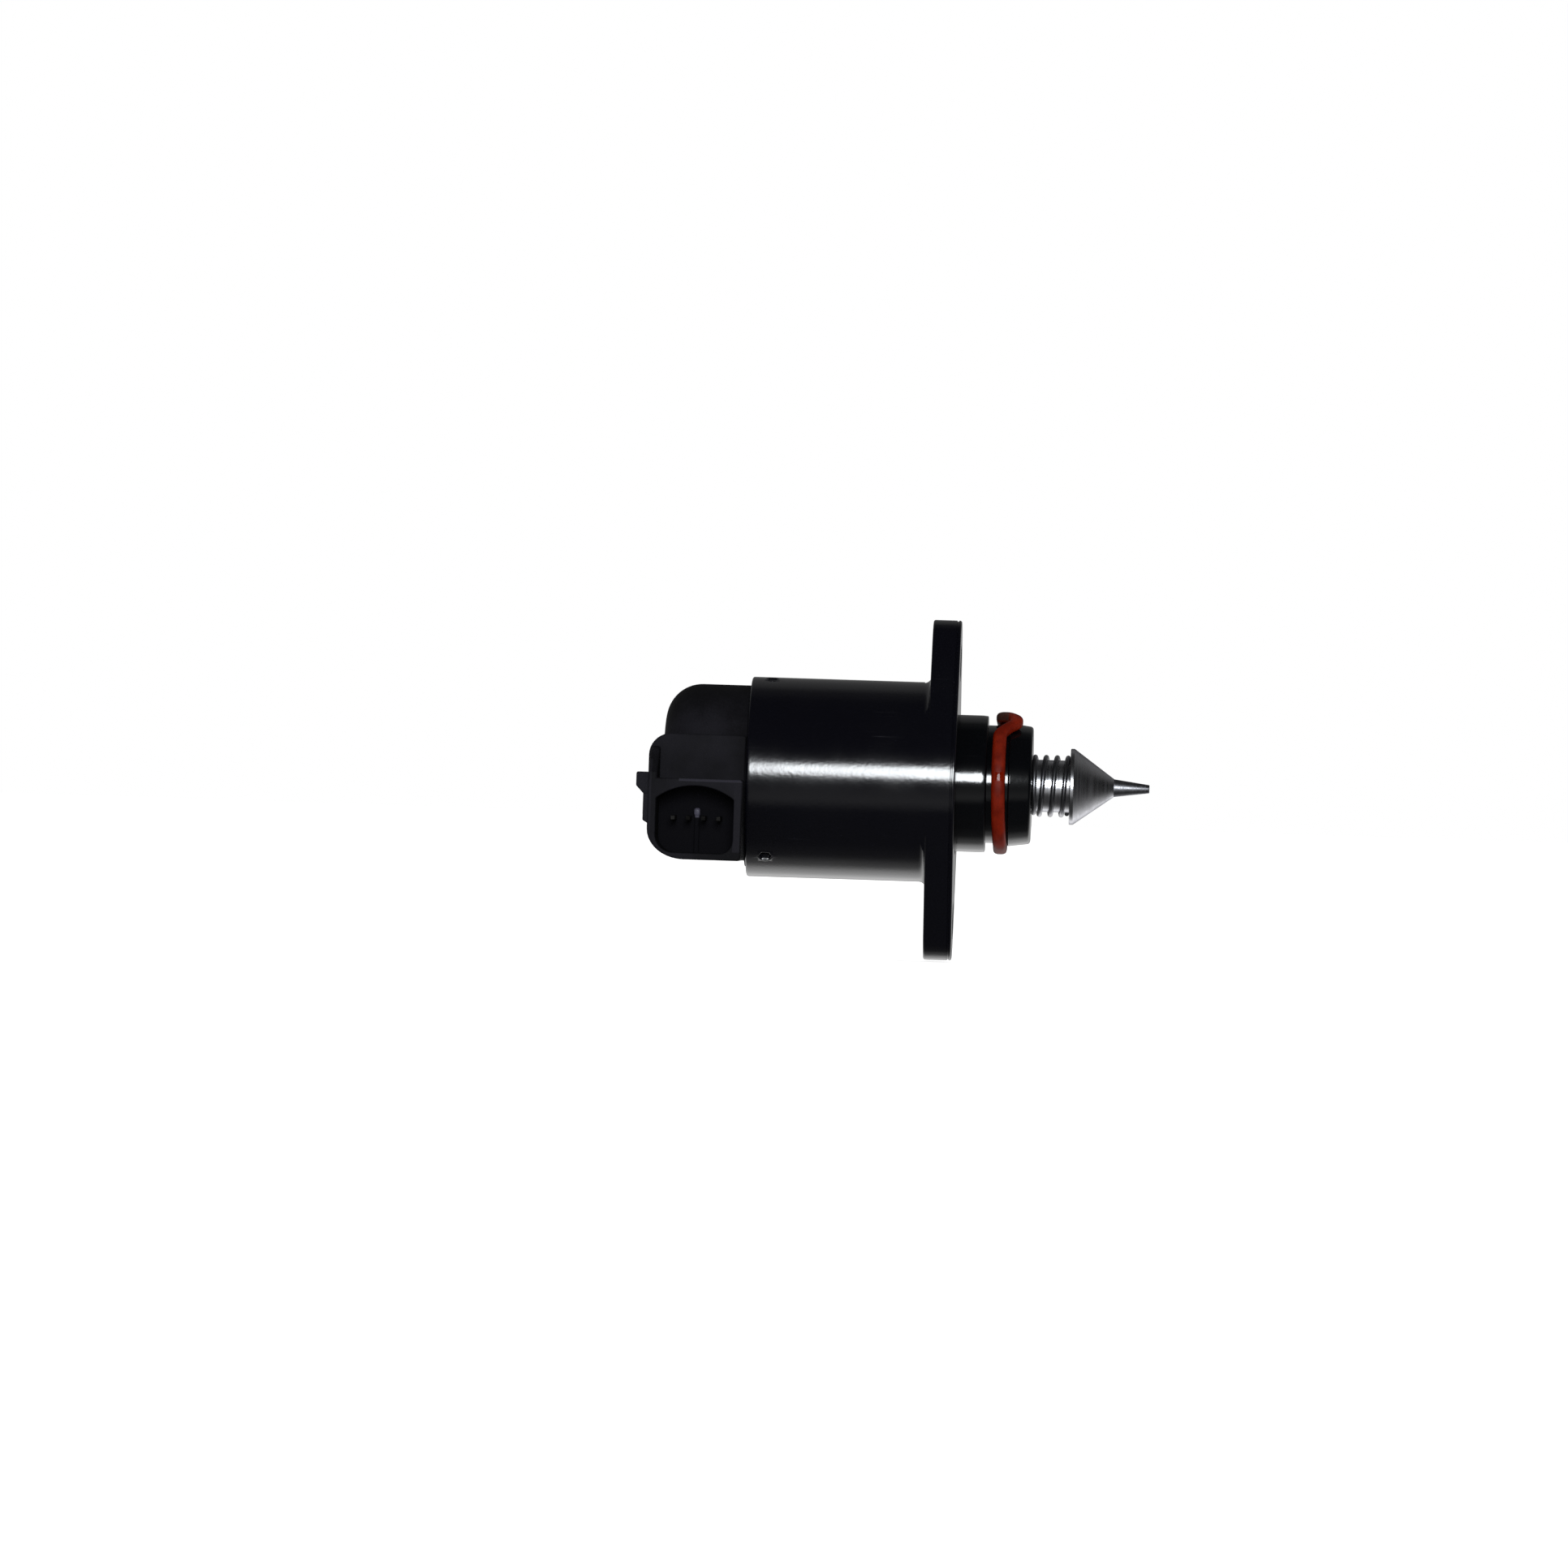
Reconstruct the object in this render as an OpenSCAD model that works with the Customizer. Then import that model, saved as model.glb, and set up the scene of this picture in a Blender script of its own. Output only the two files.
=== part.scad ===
// Idle air control valve with a linear stepper motor.
// The origin lies on the valve's axis, in the plane of the flange's mounting face.
// X runs along the axis towards the needle tip, Z through both ears, and the connector opens to -Y.
// Lengths are in millimetres. The pintle is drawn nearly retracted.

/* [Can and flange] */
// Outer radius of the can
can_r = 14.6; // [14.4:0.1:15.2]
// Wall of the can
can_wall = 1.4; // [1.3:0.05:1.6]
// Mounting face to the can's rear rim
can_len = 30.3; // [30:0.1:33]
// Thickness of the can's front wall around the nose
front_wall = 1.6; // [1.3:0.1:1.9]
// Lead-in chamfer of the hole for the nose
nose_hole_chamfer = 0.5; // [0.2:0.1:0.8]
// Thickness of the flange
flange_t = 4.15; // [3:0.05:5]
// Midpoint between the screw holes to the end of an ear
ear_reach = 24.85; // [24:0.05:28]
// Height of the axis above the midpoint between the screw holes
ear_shift = 1.1; // [0:0.05:1.4]
// Radius of an ear's end
ear_r = 6; // [5:0.1:7]
// Radius of a screw hole
screw_hole_r = 2.7; // [2.2:0.1:3]
// Fillet between the can and the ears
ear_fillet = 1; // [0.5:0.1:1.5]

/* [Crimp dimples] */
// Radius of the punch mark
dimple_r = 0.75; // [0.5:0.05:0.85]
// Depth of the punch mark
dimple_depth = 0.85; // [0.5:0.05:1]
// Height of the bulge inside the can
dimple_bulge = 0.6; // [0.3:0.05:0.7]
// Rear rim to the dimples' centres
dimple_back = 2.95; // [2.8:0.05:3.1]

/* [Nose] */
// Radius of the land that locates the valve
nose_r = 10; // [9.6:0.1:10.4]
// Length of that land
nose_land = 4.35; // [3.5:0.05:5]
// Width of the sealing ring's groove
groove_w = 3.25; // [2.6:0.05:3.6]
// Depth of the groove below the locating land
groove_depth = 1.4; // [1.25:0.05:1.7]
// Step from the locating land down to the front land
front_land_drop = 1; // [0.8:0.05:1.15]
// How much the front land narrows towards its front edge
front_taper = 0.45; // [0:0.05:0.7]
// Length of the nose
nose_len = 10.95; // [10.4:0.05:12]
// Rounding of the nose's front edge
nose_edge = 0.55; // [0.3:0.05:0.8]
// Thickness of the nose's flange inside the can
nose_flange_t = 1.8; // [1.4:0.1:2]
// Radial gap between the bearing's pocket and the poles around it
pocket_gap = 0.45; // [0.3:0.05:0.7]

/* [Sealing ring] */
// Thickness of the ring, from its inside to its outside
ring_d = 1.6; // [1.4:0.05:1.8]
// Width of the ring along the axis
ring_w = 2; // [1.8:0.05:2.3]
// How far the ring's middle lies in front of its groove where it has climbed out
ring_ride = 0.85; // [0.4:0.05:1]
// Angle above the near side at which the ring starts to leave its groove
kink_from = 34; // [28:1:42]
// Angle at which the ring is back in its groove
kink_to = 104; // [100:1:140]

/* [Pintle] */
// Radius of the pintle's hub
hub_r = 3.8; // [3.6:0.05:4]
// Mounting face to the hub's rear end, inside the nose
hub_back = 1; // [0.6:0.1:1.4]
// Radius of the cone's rear face
cone_r = 5.55; // [5.3:0.05:6]
// Width of the cone's rim
cone_rim = 0.55; // [0.3:0.05:1]
// Length of the cone with its rim
cone_len = 6.4; // [5.5:0.1:7.5]
// Nose to the cone's rear face with the pintle as drawn
cone_gap = 5.55; // [5.2:0.05:6.2]
// Radius of the needle tip where it leaves the cone
tip_r = 1.3; // [1.1:0.05:1.5]
// Radius of the needle tip at its end
tip_end_r = 0.6; // [0.4:0.05:0.8]
// Length of the needle tip
tip_len = 5.2; // [4:0.1:6.5]
// Travel inwards from the pose drawn
travel_in = 1.5; // [1:0.1:1.6]
// Travel outwards from the pose drawn
travel_out = 7.5; // [6:0.1:7.6]

/* [Spring] */
// Diameter of the spring's wire
wire_d = 0.7; // [0.6:0.05:0.8]
// Turns that work
spring_turns = 3; // [2.5:0.25:3.25]
// Part of a turn that lies flat at each end
spring_flat = 0.45; // [0.25:0.05:0.45]

/* [Lead screw and nut] */
// Radius of the screw's thread
screw_r = 1.9; // [1.8:0.05:2]
// Length of thread left in the nut at full travel
screw_grip = 3.1; // [2.5:0.1:3.3]
// Length of the nut
nut_len = 6; // [5:0.1:7]
// Radius of the nut across its corners
nut_r = 3.6; // [3.3:0.05:4]
// Radial clearance of every running fit
run_gap = 0.05; // [0.03:0.01:0.08]

/* [Guide key] */
// Width of the key
key_w = 1.2; // [1:0.05:1.5]
// Length of the key
key_len = 5; // [4:0.1:5.4]
// Nose's front face to the key
key_inset = 1.35; // [1.2:0.05:2]
// Depth that the key reaches into the hub
key_depth = 0.6; // [0.4:0.05:0.7]
// Height of the key that is held in the nose
key_seat = 1.1; // [0.8:0.1:1.4]

/* [Bearing] */
// Radius of the bearing's bore
bearing_bore_r = 3; // [2.9:0.05:3.1]
// Outer radius of the bearing
bearing_r = 5.2; // [5:0.05:5.5]
// Width of the bearing
bearing_w = 3; // [2.8:0.1:3.4]
// Radius of a ball
ball_r = 0.7; // [0.6:0.05:0.75]
// Number of balls
ball_count = 9; // [7:1:9]
// Radial thickness of each race at its edges
race_t = 0.65; // [0.55:0.01:0.7]
// Thickness of the ball cage
cage_t = 0.4; // [0.3:0.05:0.5]
// Thickness of the wave washer's strip
wave_t = 0.25; // [0.2:0.05:0.3]
// Height of the wave washer's waves, crest to trough
wave_rise = 0.3; // [0.1:0.05:0.35]

/* [Rotor] */
// Outer radius of the magnet
magnet_r = 6.6; // [6.4:0.05:6.8]
// Inner radius of the magnet
magnet_bore_r = 4.9; // [4.6:0.1:5.2]
// Thickness of the hub's end flanges
hub_flange_t = 0.65; // [0.5:0.05:0.8]
// Magnet's surface to the rim of the hub's end flanges
hub_flange_inset = 1.2; // [0.8:0.1:1.4]
// Radius of the rear journal
journal_r = 3.1; // [2.9:0.05:3.3]
// Air gap between the magnet and the poles
air_gap = 0.3; // [0.25:0.05:0.35]

/* [Stator] */
// Thickness of the pole sheets
sheet_t = 0.8; // [0.6:0.05:0.9]
// Pole claws on each sheet
claw_count = 6; // [4:1:6]
// Width of a claw at its root
claw_root_w = 3.3; // [2.8:0.1:3.6]
// Width of a claw at its tip
claw_tip_w = 1.8; // [1.4:0.1:2.2]
// Wall of a bobbin
bobbin_t = 0.65; // [0.5:0.05:0.8]
// Depth that a winding stays below its bobbin's rim
winding_inset = 0.3; // [0.1:0.05:0.6]

/* [Rear end plate and bush] */
// Thickness of the end plate
plate_t = 1.15; // [1:0.05:1.4]
// Outer radius of the bush
bush_r = 4.2; // [4:0.1:4.4]
// Length of the bush
bush_len = 2.4; // [2:0.1:2.8]
// Wall of the bush's pocket
bush_wall = 1.2; // [0.8:0.1:1.4]

/* [Connector cap] */
// Step from the can's surface down to the cap's
cap_step = 1.3; // [1:0.05:1.35]
// Can's rear rim to the cap's rear face
cap_len = 12.4; // [12:0.1:14]
// Rounding of the cap's rear edge
cap_fillet = 5.2; // [3.5:0.1:5.4]
// Height that the flat underside cuts off the round cap
cap_flat_cut = 1; // [0.6:0.1:1.4]
// Side wall of the cap
cap_wall = 2.5; // [2.3:0.1:2.7]
// Rear wall of the cap
cap_rear_wall = 1.4; // [1.2:0.1:1.5]
// Length of the cap's plug inside the can
plug_len = 7.3; // [7.1:0.1:7.6]
// Width of the groove that the dimples lock into
lock_groove_w = 2.1; // [2.05:0.05:2.3]
// Depth of that groove
lock_groove_d = 0.95; // [0.8:0.05:1]
// Thickness of the cap's seal
seal_d = 1.2; // [1:0.05:1.25]

/* [Connector block] */
// Width of the block and shroud along the axis
shroud_w = 14.05; // [13.8:0.05:15]
// Axis to the top of the block
block_top = 5.9; // [4.5:0.1:7]
// Axis to the block's front face
block_front = 13.5; // [13:0.1:15]
// Axis to the block's rear end
block_rear = 6; // [4:0.5:8]
// Rounding of the block's top corner
block_top_round = 3.2; // [1.5:0.1:3.4]
// Rounding of the block's bottom corner
block_low_round = 4; // [2.5:0.1:4.4]
// Axis down to the top of the shroud
shroud_drop = 0.6; // [0.2:0.1:1]
// Axis to the shroud's mouth
shroud_reach = 20.5; // [19:0.1:23]
// How far the shroud's rear side lies inside the block's
shroud_inset = 0.4; // [0.2:0.1:0.6]
// Wall between the socket and the space inside the cap
socket_end_wall = 0.7; // [0.6:0.1:2]
// Rear side wall of the socket
socket_rear_wall = 1.2; // [1:0.1:1.6]
// Side wall of the socket next to the can
socket_can_wall = 1.2; // [1:0.1:1.6]
// Wall above the socket
socket_roof = 1; // [0.7:0.1:1.2]
// Wall below the socket
socket_floor = 0.95; // [0.7:0.05:1.2]
// Rise of the socket's arched top
arch_rise = 1.9; // [1:0.1:2.4]
// Width of the web that joins the shroud to the block
web_w = 1.3; // [1:0.1:4]
// Height of the lock lug over the shroud's rear wall
lug_h = 1.8; // [1.4:0.05:2.1]
// Thickness of the lug
lug_t = 2; // [1.4:0.1:2.4]
// Width of the lug
lug_w = 3.6; // [2.5:0.1:5]
// Height of the pad below the lug
pad_h = 0.7; // [0.4:0.05:0.9]
// Length of the pad
pad_len = 3.85; // [3:0.05:4.5]
// Width of the raised rib on the socket's end wall, between the two middle pins
rib_w = 0.7; // [0.4:0.1:1]
// Height of that rib
rib_h = 0.8; // [0.4:0.1:1]

/* [Terminal pins] */
// Distance between the pins
pin_pitch = 2.2; // [2:0.05:2.25]
// Side of a pin's square section
pin_w = 0.64; // [0.5:0.02:0.7]
// Axis down to the row of pins
pin_drop = 6.3; // [6:0.1:6.5]
// Socket's mouth to the pins' ends
pin_recess = 3.5; // [2.5:0.1:4]
// Distance between the pins where they run forward inside the cap
pin_lane = 1.6; // [1.4:0.05:1.7]
// Height of the window in the end plate around the pins
window_h = 2; // [1.6:0.1:2.4]

/* [Hidden] */

// Facets used only to draw round faces
$fn = 96;
// Gap between round faces that are pressed or moulded together
fit_gap = 0.05;
// Gap between flat faces that touch
seat_gap = 0.02;
// Free end play of the rotor on each side
end_play = 0.3;
// How far a cutting shape runs past the face that it cuts
over = 1;

// Can, ears and dimples
can_bore_r = can_r - can_wall;
ear_z = ear_reach - ear_r;
line_inset = 0.01;
dimple_x = -can_len + dimple_back;
dimple_angles = [78, -52, -128];
bulge_r = dimple_r + 0.15;
punch_end_r = 0.7 * dimple_r;
punch_flare = 0.2;

// Nose, from its flange inside the can to its front face
nose_flange_front = -front_wall - seat_gap;
nose_flange_rear = nose_flange_front - nose_flange_t;
groove_front = nose_land + groove_w;
groove_r = nose_r - groove_depth;
front_land_r = nose_r - front_land_drop;
front_edge_r = front_land_r - front_taper;
nose_bore_r = hub_r + run_gap;

// Angles after which the ring is out of its groove, and between which it moves forward
ring_rise = 24;
ring_slant_from = 12;
ring_slant_to = 32;
ring_slant_back = 36;
ring_ride_gap = 0.1;
ring_square = 0.7;
near_side_share = 0.37;
near_side_middle = 20;

// Pintle and lead screw
hub_clear = 0.4;
cone_x = nose_len + cone_gap;
cone_tip_x = cone_x + cone_len;
neck_inset = 4.95;
screw_neck_x = nose_len - neck_inset;
screw_chamfer = 0.3;
tip_round = 0.15;
slot_gap = 0.25;
slot_side_gap = 0.08;
tip_x = cone_tip_x + tip_len;

// Bearing in the pocket behind the nose bore
pocket_floor = -hub_back - travel_in - hub_clear;
bearing_front = pocket_floor - wave_t - wave_rise - 2 * seat_gap;
bearing_rear = bearing_front - bearing_w;
bearing_mid = (bearing_front + bearing_rear) / 2;
pitch_r = (bearing_bore_r + bearing_r) / 2;
raceway_r = ball_r + run_gap;
pocket_r = bearing_r + fit_gap;
cage_w = 2 * ball_r + 0.5;
race_edge_gap = 0.1;

// Stator pack between the nose's flange and the end plate
plug_front = -can_len + plug_len;
plate_rear = plug_front + seat_gap;
plate_front = plate_rear + plate_t;
stack_rear = plate_front + seat_gap;
stack_front = nose_flange_rear - seat_gap;
coil_len = (stack_front - stack_rear - seat_gap) / 2;
pack_r = can_bore_r - fit_gap;
pole_r = magnet_r + air_gap;
pocket_outer_r = pole_r - pocket_gap;
bobbin_bore_r = pole_r + sheet_t + fit_gap;
bobbin_rim_r = pack_r - sheet_t - fit_gap;
claw_gap = 0.25;
claw_len = coil_len - 2 * sheet_t - claw_gap;
phase_shift = 90 / claw_count;

// Rotor between the end plate and the bearing
rotor_rear = plate_front + end_play;
rotor_front = bearing_rear - end_play;
magnet_rear = rotor_rear + hub_flange_t + seat_gap;
magnet_front = rotor_front - hub_flange_t - seat_gap;
hub_core_r = magnet_bore_r - fit_gap;
hub_flange_r = magnet_r - hub_flange_inset;
front_journal_r = bearing_bore_r - seat_gap;
screw_clear_r = screw_r + 0.35;
nut_inset = 0.7;
nut_front = rotor_front - nut_inset;
nut_rear = nut_front - nut_len;
screw_rear = nut_front - travel_out - screw_grip;

// Bush in the end plate
bush_front = plate_front - 0.1;
bush_rear = bush_front - bush_len;
bush_lip = 0.4;
journal_rear = bush_rear + 0.2;

// Cap, its plug and its hollow
cap_r = can_r - cap_step;
cap_rear = -can_len - cap_len;
plug_r = can_bore_r - fit_gap;
hollow_r = cap_r - cap_wall;
hollow_rear = cap_rear + cap_rear_wall;
hollow_round = cap_fillet - cap_wall;
cap_flat = cap_r - cap_flat_cut;
seal_groove_w = seal_d + 0.2;
seal_inset = 1.1;
seal_groove_front = plug_front - seal_inset;
seal_x = seal_groove_front - seal_groove_w / 2;
seal_mid_r = plug_r - seal_d / 2;

// Connector block, shroud and socket
shroud_gap = 0.15;
shroud_front = -can_len - shroud_gap;
block_back = shroud_front - shroud_w;
shroud_rear = block_back + shroud_inset;
socket_rear = shroud_rear + socket_rear_wall;
socket_front = shroud_front - socket_can_wall;
socket_mid = (socket_rear + socket_front) / 2;
socket_top = -shroud_drop - socket_roof;
socket_low = -cap_flat + socket_floor;
socket_end = -hollow_r - socket_end_wall;
small_round = 0.5;
socket_rounds = [2.6, 2, 0.4, 0.4];
arch_r = (pow((socket_front - socket_rear) / 2, 2) + pow(arch_rise, 2)) / (2 * arch_rise);
lug_top = 0.2;
lug_inset = 1;
lug_slant = 1.15;
pad_inset = 0.4;
pad_taper = 0.4;
web_foot = 0.5;
web_run = 2.4;
web_drop = 1.7;
rib_over = 1.2;
rib_foot = 0.3;

// Terminal pins
pin_end_x = plate_rear + plate_t / 2;
pin_tip_y = -shroud_reach + pin_recess;
pin_lane_inset = 3.5;
pin_slack = 0.02;
window_rear_gap = 1;
window_front_gap = 0.8;

// Colours
paint_black = [0.06, 0.06, 0.07];
plastic_black = [0.16, 0.16, 0.17];
nose_black = [0.05, 0.06, 0.06];
ring_orange = [0.72, 0.2, 0.08];
bright_steel = [0.72, 0.73, 0.75];
dull_steel = [0.5, 0.51, 0.53];
magnet_grey = [0.2, 0.2, 0.22];
copper_red = [0.72, 0.4, 0.2];
brass_yellow = [0.78, 0.62, 0.3];
bobbin_white = [0.85, 0.83, 0.76];
rubber_black = [0.08, 0.08, 0.08];

// Turns a flat profile, drawn as radius and place along X, about the valve's axis
module spin() {
    rotate([0, 90, 0])
        rotate_extrude()
            children();
}

// Rectangle of such a profile, from one radius to another and from x0 to x1
module band(x0, x1, r_in, r_out) {
    translate([r_in, x0])
        square([r_out - r_in, x1 - x0]);
}

// Solid rod on the axis
module rod(x0, x1, r) {
    translate([x0, 0, 0])
        rotate([0, 90, 0])
            cylinder(r = r, h = x1 - x0);
}

// Plate across the axis, its outline drawn in Y and Z
module across(x0, x1) {
    translate([x0, 0, 0])
        rotate([90, 0, 90])
            linear_extrude(x1 - x0)
                children();
}

// Bar along Y, its outline drawn in X and Z
module along_y(y0, y1) {
    translate([0, y1, 0])
        rotate([90, 0, 0])
            linear_extrude(y1 - y0)
                children();
}

// Stands children up along a radius, at an angle above the side with the connector's mouth
module radial(angle) {
    rotate([-angle, 0, 0])
        rotate([90, 0, 0])
            children();
}

// Rectangle whose corners have their own radii, from the low corner at the left anticlockwise
module rounded(x0, z0, x1, z1, r) {
    polygon([[x0 + r[0], z0], [x1 - r[1], z0], [x1, z0 + r[1]], [x1, z1 - r[2]],
             [x1 - r[2], z1], [x0 + r[3], z1], [x0, z1 - r[3]], [x0, z0 + r[0]]]);
    translate([x0 + r[0], z0 + r[0]])
        circle(r = r[0]);
    translate([x1 - r[1], z0 + r[1]])
        circle(r = r[1]);
    translate([x1 - r[2], z1 - r[2]])
        circle(r = r[2]);
    translate([x0 + r[3], z1 - r[3]])
        circle(r = r[3]);
}

// Smooth step from 0 at a to 1 at b
function ease(a, b, v) =
    let (t = min(1, max(0, (v - a) / (b - a))))
    t * t * (3 - 2 * t);

// Point at a radius and an angle above the near side
function polar(x, r, angle) = [x, -r * cos(angle), r * sin(angle)];

// Round section of a path about the axis, in the plane that holds the axis
function path_section(x, r, angle, section_r, sides) =
    [for (j = [0 : sides - 1])
        let (u = 360 * j / sides)
        polar(x + section_r * cos(u), r + section_r * sin(u), angle)];

// Skin over a list of sections, closed into a ring or capped at both ends
module loft(sections, ring) {
    n = len(sections[0]);
    m = len(sections);
    spans = ring ? m - 1 : m - 2;
    sides = [for (i = [0 : spans])
        for (j = [0 : n - 1])
            let (a = i * n + j, b = i * n + (j + 1) % n)
            let (c = ((i + 1) % m) * n + (j + 1) % n, d = ((i + 1) % m) * n + j)
            each [[a, b, c], [a, c, d]]];
    first_cap = [for (j = [n - 1 : -1 : 0]) j];
    last_cap = [for (j = [0 : n - 1]) (m - 1) * n + j];
    polyhedron(points = [for (s = sections) each s],
               faces = ring ? sides : concat(sides, [first_cap, last_cap]));
}

// Outline of the flange: a circle with two ears and the lines that join them, just inside their tangents
module flange_outline() {
    circle(r = can_r);
    for (side = [-1, 1])
        let (reach = ear_z - side * ear_shift, tangent = asin((can_r - ear_r) / reach))
        let (big = can_r - line_inset, small = ear_r - line_inset)
            scale([1, side])
                union() {
                    translate([0, reach])
                        circle(r = ear_r);
                    polygon([[big * cos(tangent), big * sin(tangent)],
                             [small * cos(tangent), reach + small * sin(tangent)],
                             [-small * cos(tangent), reach + small * sin(tangent)],
                             [-big * cos(tangent), big * sin(tangent)]]);
                }
}

// Concave fillet behind the ears
module ear_fillets() {
    intersection() {
        spin()
            difference() {
                band(-flange_t - ear_fillet, -flange_t + ear_fillet,
                     can_r - can_wall / 2, can_r + ear_fillet);
                translate([can_r + ear_fillet, -flange_t - ear_fillet])
                    circle(r = ear_fillet);
            }
        across(-flange_t - 2 * ear_fillet, -flange_t / 2)
            flange_outline();
    }
}

module can_housing() {
    color(paint_black)
        difference() {
            union() {
                difference() {
                    union() {
                        rod(-can_len, -flange_t / 2, can_r);
                        across(-flange_t, 0)
                            flange_outline();
                        ear_fillets();
                    }
                    rod(-can_len - over, -front_wall, can_bore_r);
                    rod(-front_wall - over, over, nose_r + fit_gap);
                    spin()
                        polygon([[0, over], [nose_r + fit_gap + nose_hole_chamfer + over, over],
                                 [nose_r + fit_gap, -nose_hole_chamfer], [0, -nose_hole_chamfer]]);
                    for (side = [-1, 1])
                        translate([0, 0, side * ear_z - ear_shift])
                            rod(-flange_t - 2 * over, over, screw_hole_r);
                }
                for (angle = dimple_angles)
                    radial(angle)
                        translate([dimple_x, 0, can_bore_r - dimple_bulge])
                            cylinder(r = bulge_r, h = dimple_bulge + can_wall / 2);
            }
            for (angle = dimple_angles)
                radial(angle)
                    translate([dimple_x, 0, can_r - dimple_depth])
                        cylinder(r1 = punch_end_r, r2 = dimple_r + punch_flare, h = dimple_depth + over / 4);
        }
}

module nose_housing() {
    edge_x = nose_len - nose_edge;
    edge_mid_r = front_edge_r - nose_edge;
    color(nose_black)
        difference() {
            spin() {
                band(bearing_rear, nose_flange_rear + over, pocket_r, pocket_outer_r);
                band(nose_flange_rear, nose_flange_front, nose_bore_r, can_bore_r - fit_gap);
                band(nose_flange_rear, nose_land, nose_bore_r, nose_r);
                band(nose_land - over, edge_x, nose_bore_r, groove_r);
                polygon([[nose_bore_r, groove_front], [front_land_r, groove_front],
                         [front_edge_r, edge_x], [nose_bore_r, edge_x]]);
                band(edge_x - over, nose_len, nose_bore_r, edge_mid_r);
                translate([edge_mid_r, edge_x])
                    circle(r = nose_edge);
            }
            rod(bearing_rear - over, pocket_floor, pocket_r);
            key_block(fit_gap / 2, nose_bore_r - fit_gap);
        }
}

// The key's own block, widened by a gap, from a given distance off the axis outwards
module key_block(gap, from_r) {
    to_r = hub_r + key_seat + gap;
    translate([nose_len - key_inset - key_len - gap, from_r, -key_w / 2 - gap])
        cube([key_len + 2 * gap, to_r - from_r, key_w + 2 * gap]);
}

module guide_key() {
    color(dull_steel)
        key_block(0, hub_r - key_depth);
}

// Squares up a round section's sine or cosine
function squared(v) = sign(v) * pow(abs(v), ring_square);

// Flattened section of the ring
function ring_section(x, r, angle) =
    [for (j = [0 : 11])
        let (u = 30 * j)
        polar(x + ring_w / 2 * squared(cos(u)), r + ring_d / 2 * squared(sin(u)), angle)];

// The ring sits in its groove, a little back on the near side, and at the top it has climbed
// over the nose's front land
module sealing_ring() {
    seat_r = groove_r + ring_d / 2 + seat_gap;
    front_seat_x = groove_front - ring_w / 2 - seat_gap;
    free_room = groove_w - ring_w - 2 * seat_gap;
    ride_r = front_land_r + ring_d / 2 + ring_ride_gap;
    ride_x = groove_front + ring_ride;
    color(ring_orange)
        loft([for (i = [0 : 89])
            let (angle = 4 * i - 90)
            let (near = max(0, cos(angle - near_side_middle)))
            let (seat_x = front_seat_x - near_side_share * free_room * near)
            let (up = ease(kink_from, kink_from + ring_rise, angle)
                    - ease(kink_to - ring_rise, kink_to, angle))
            let (shift = ease(kink_from + ring_slant_from, kink_from + ring_slant_to, angle)
                       - ease(kink_to - ring_slant_back, kink_to - ring_slant_from, angle))
            ring_section(seat_x + (ride_x - seat_x) * shift, seat_r + (ride_r - seat_r) * up,
                         angle)], true);
}

module wave_washer() {
    waves = 3;
    mid_x = bearing_front + seat_gap + (wave_t + wave_rise) / 2;
    r_in = bearing_r - race_t;
    r_out = bearing_r - race_edge_gap;
    color(bright_steel)
        loft([for (i = [0 : 59])
            let (angle = 6 * i, x = mid_x + wave_rise / 2 * cos(waves * angle))
            [polar(x + wave_t / 2, r_in, angle), polar(x + wave_t / 2, r_out, angle),
             polar(x - wave_t / 2, r_out, angle), polar(x - wave_t / 2, r_in, angle)]], true);
}

// One race of the bearing, with the groove that its balls run in
module race(r_in, r_out) {
    color(bright_steel)
        spin()
            difference() {
                band(bearing_rear, bearing_front, r_in, r_out);
                translate([pitch_r, bearing_mid])
                    circle(r = raceway_r);
            }
}

module bearing_outer_race() {
    race(bearing_r - race_t, bearing_r);
}

module bearing_inner_race() {
    race(bearing_bore_r, bearing_bore_r + race_t);
}

// Angle of one ball, with a gap between two balls straight below the axis
function ball_angle(i) = -90 + 360 * (i + 0.5) / ball_count;

module bearing_cage() {
    color(brass_yellow)
        difference() {
            spin()
                band(bearing_mid - cage_w / 2, bearing_mid + cage_w / 2,
                     pitch_r - cage_t / 2, pitch_r + cage_t / 2);
            for (i = [0 : ball_count - 1])
                radial(ball_angle(i))
                    translate([bearing_mid, 0, pitch_r - cage_t])
                        cylinder(r = raceway_r, h = 2 * cage_t);
        }
}

module bearing_balls() {
    color(bright_steel)
        for (i = [0 : ball_count - 1])
            radial(ball_angle(i))
                translate([bearing_mid, 0, pitch_r])
                    sphere(r = ball_r);
}

module rotor_magnet() {
    color(magnet_grey)
        spin()
            band(magnet_rear, magnet_front, magnet_bore_r, magnet_r);
}

// Moulded hub that carries the magnet and the nut and turns on both journals
module rotor_hub() {
    shoulder_r = bearing_bore_r + race_t - race_edge_gap;
    color(bobbin_white)
        difference() {
            union() {
                rod(journal_rear, rotor_rear + over, journal_r);
                rod(rotor_rear, rotor_rear + hub_flange_t, hub_flange_r);
                rod(rotor_rear, rotor_front, hub_core_r);
                rod(rotor_front - hub_flange_t, rotor_front, hub_flange_r);
                rod(rotor_front - over, bearing_rear - seat_gap, shoulder_r);
                rod(rotor_front - over, bearing_front, front_journal_r);
            }
            rod(journal_rear - over, bearing_front + over, screw_clear_r);
            nut_body(fit_gap);
        }
}

// Hexagonal body of the nut
module nut_body(gap) {
    translate([nut_rear - gap, 0, 0])
        rotate([0, 90, 0])
            cylinder(r = nut_r + gap, h = nut_len + 2 * gap, $fn = 6);
}

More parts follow.
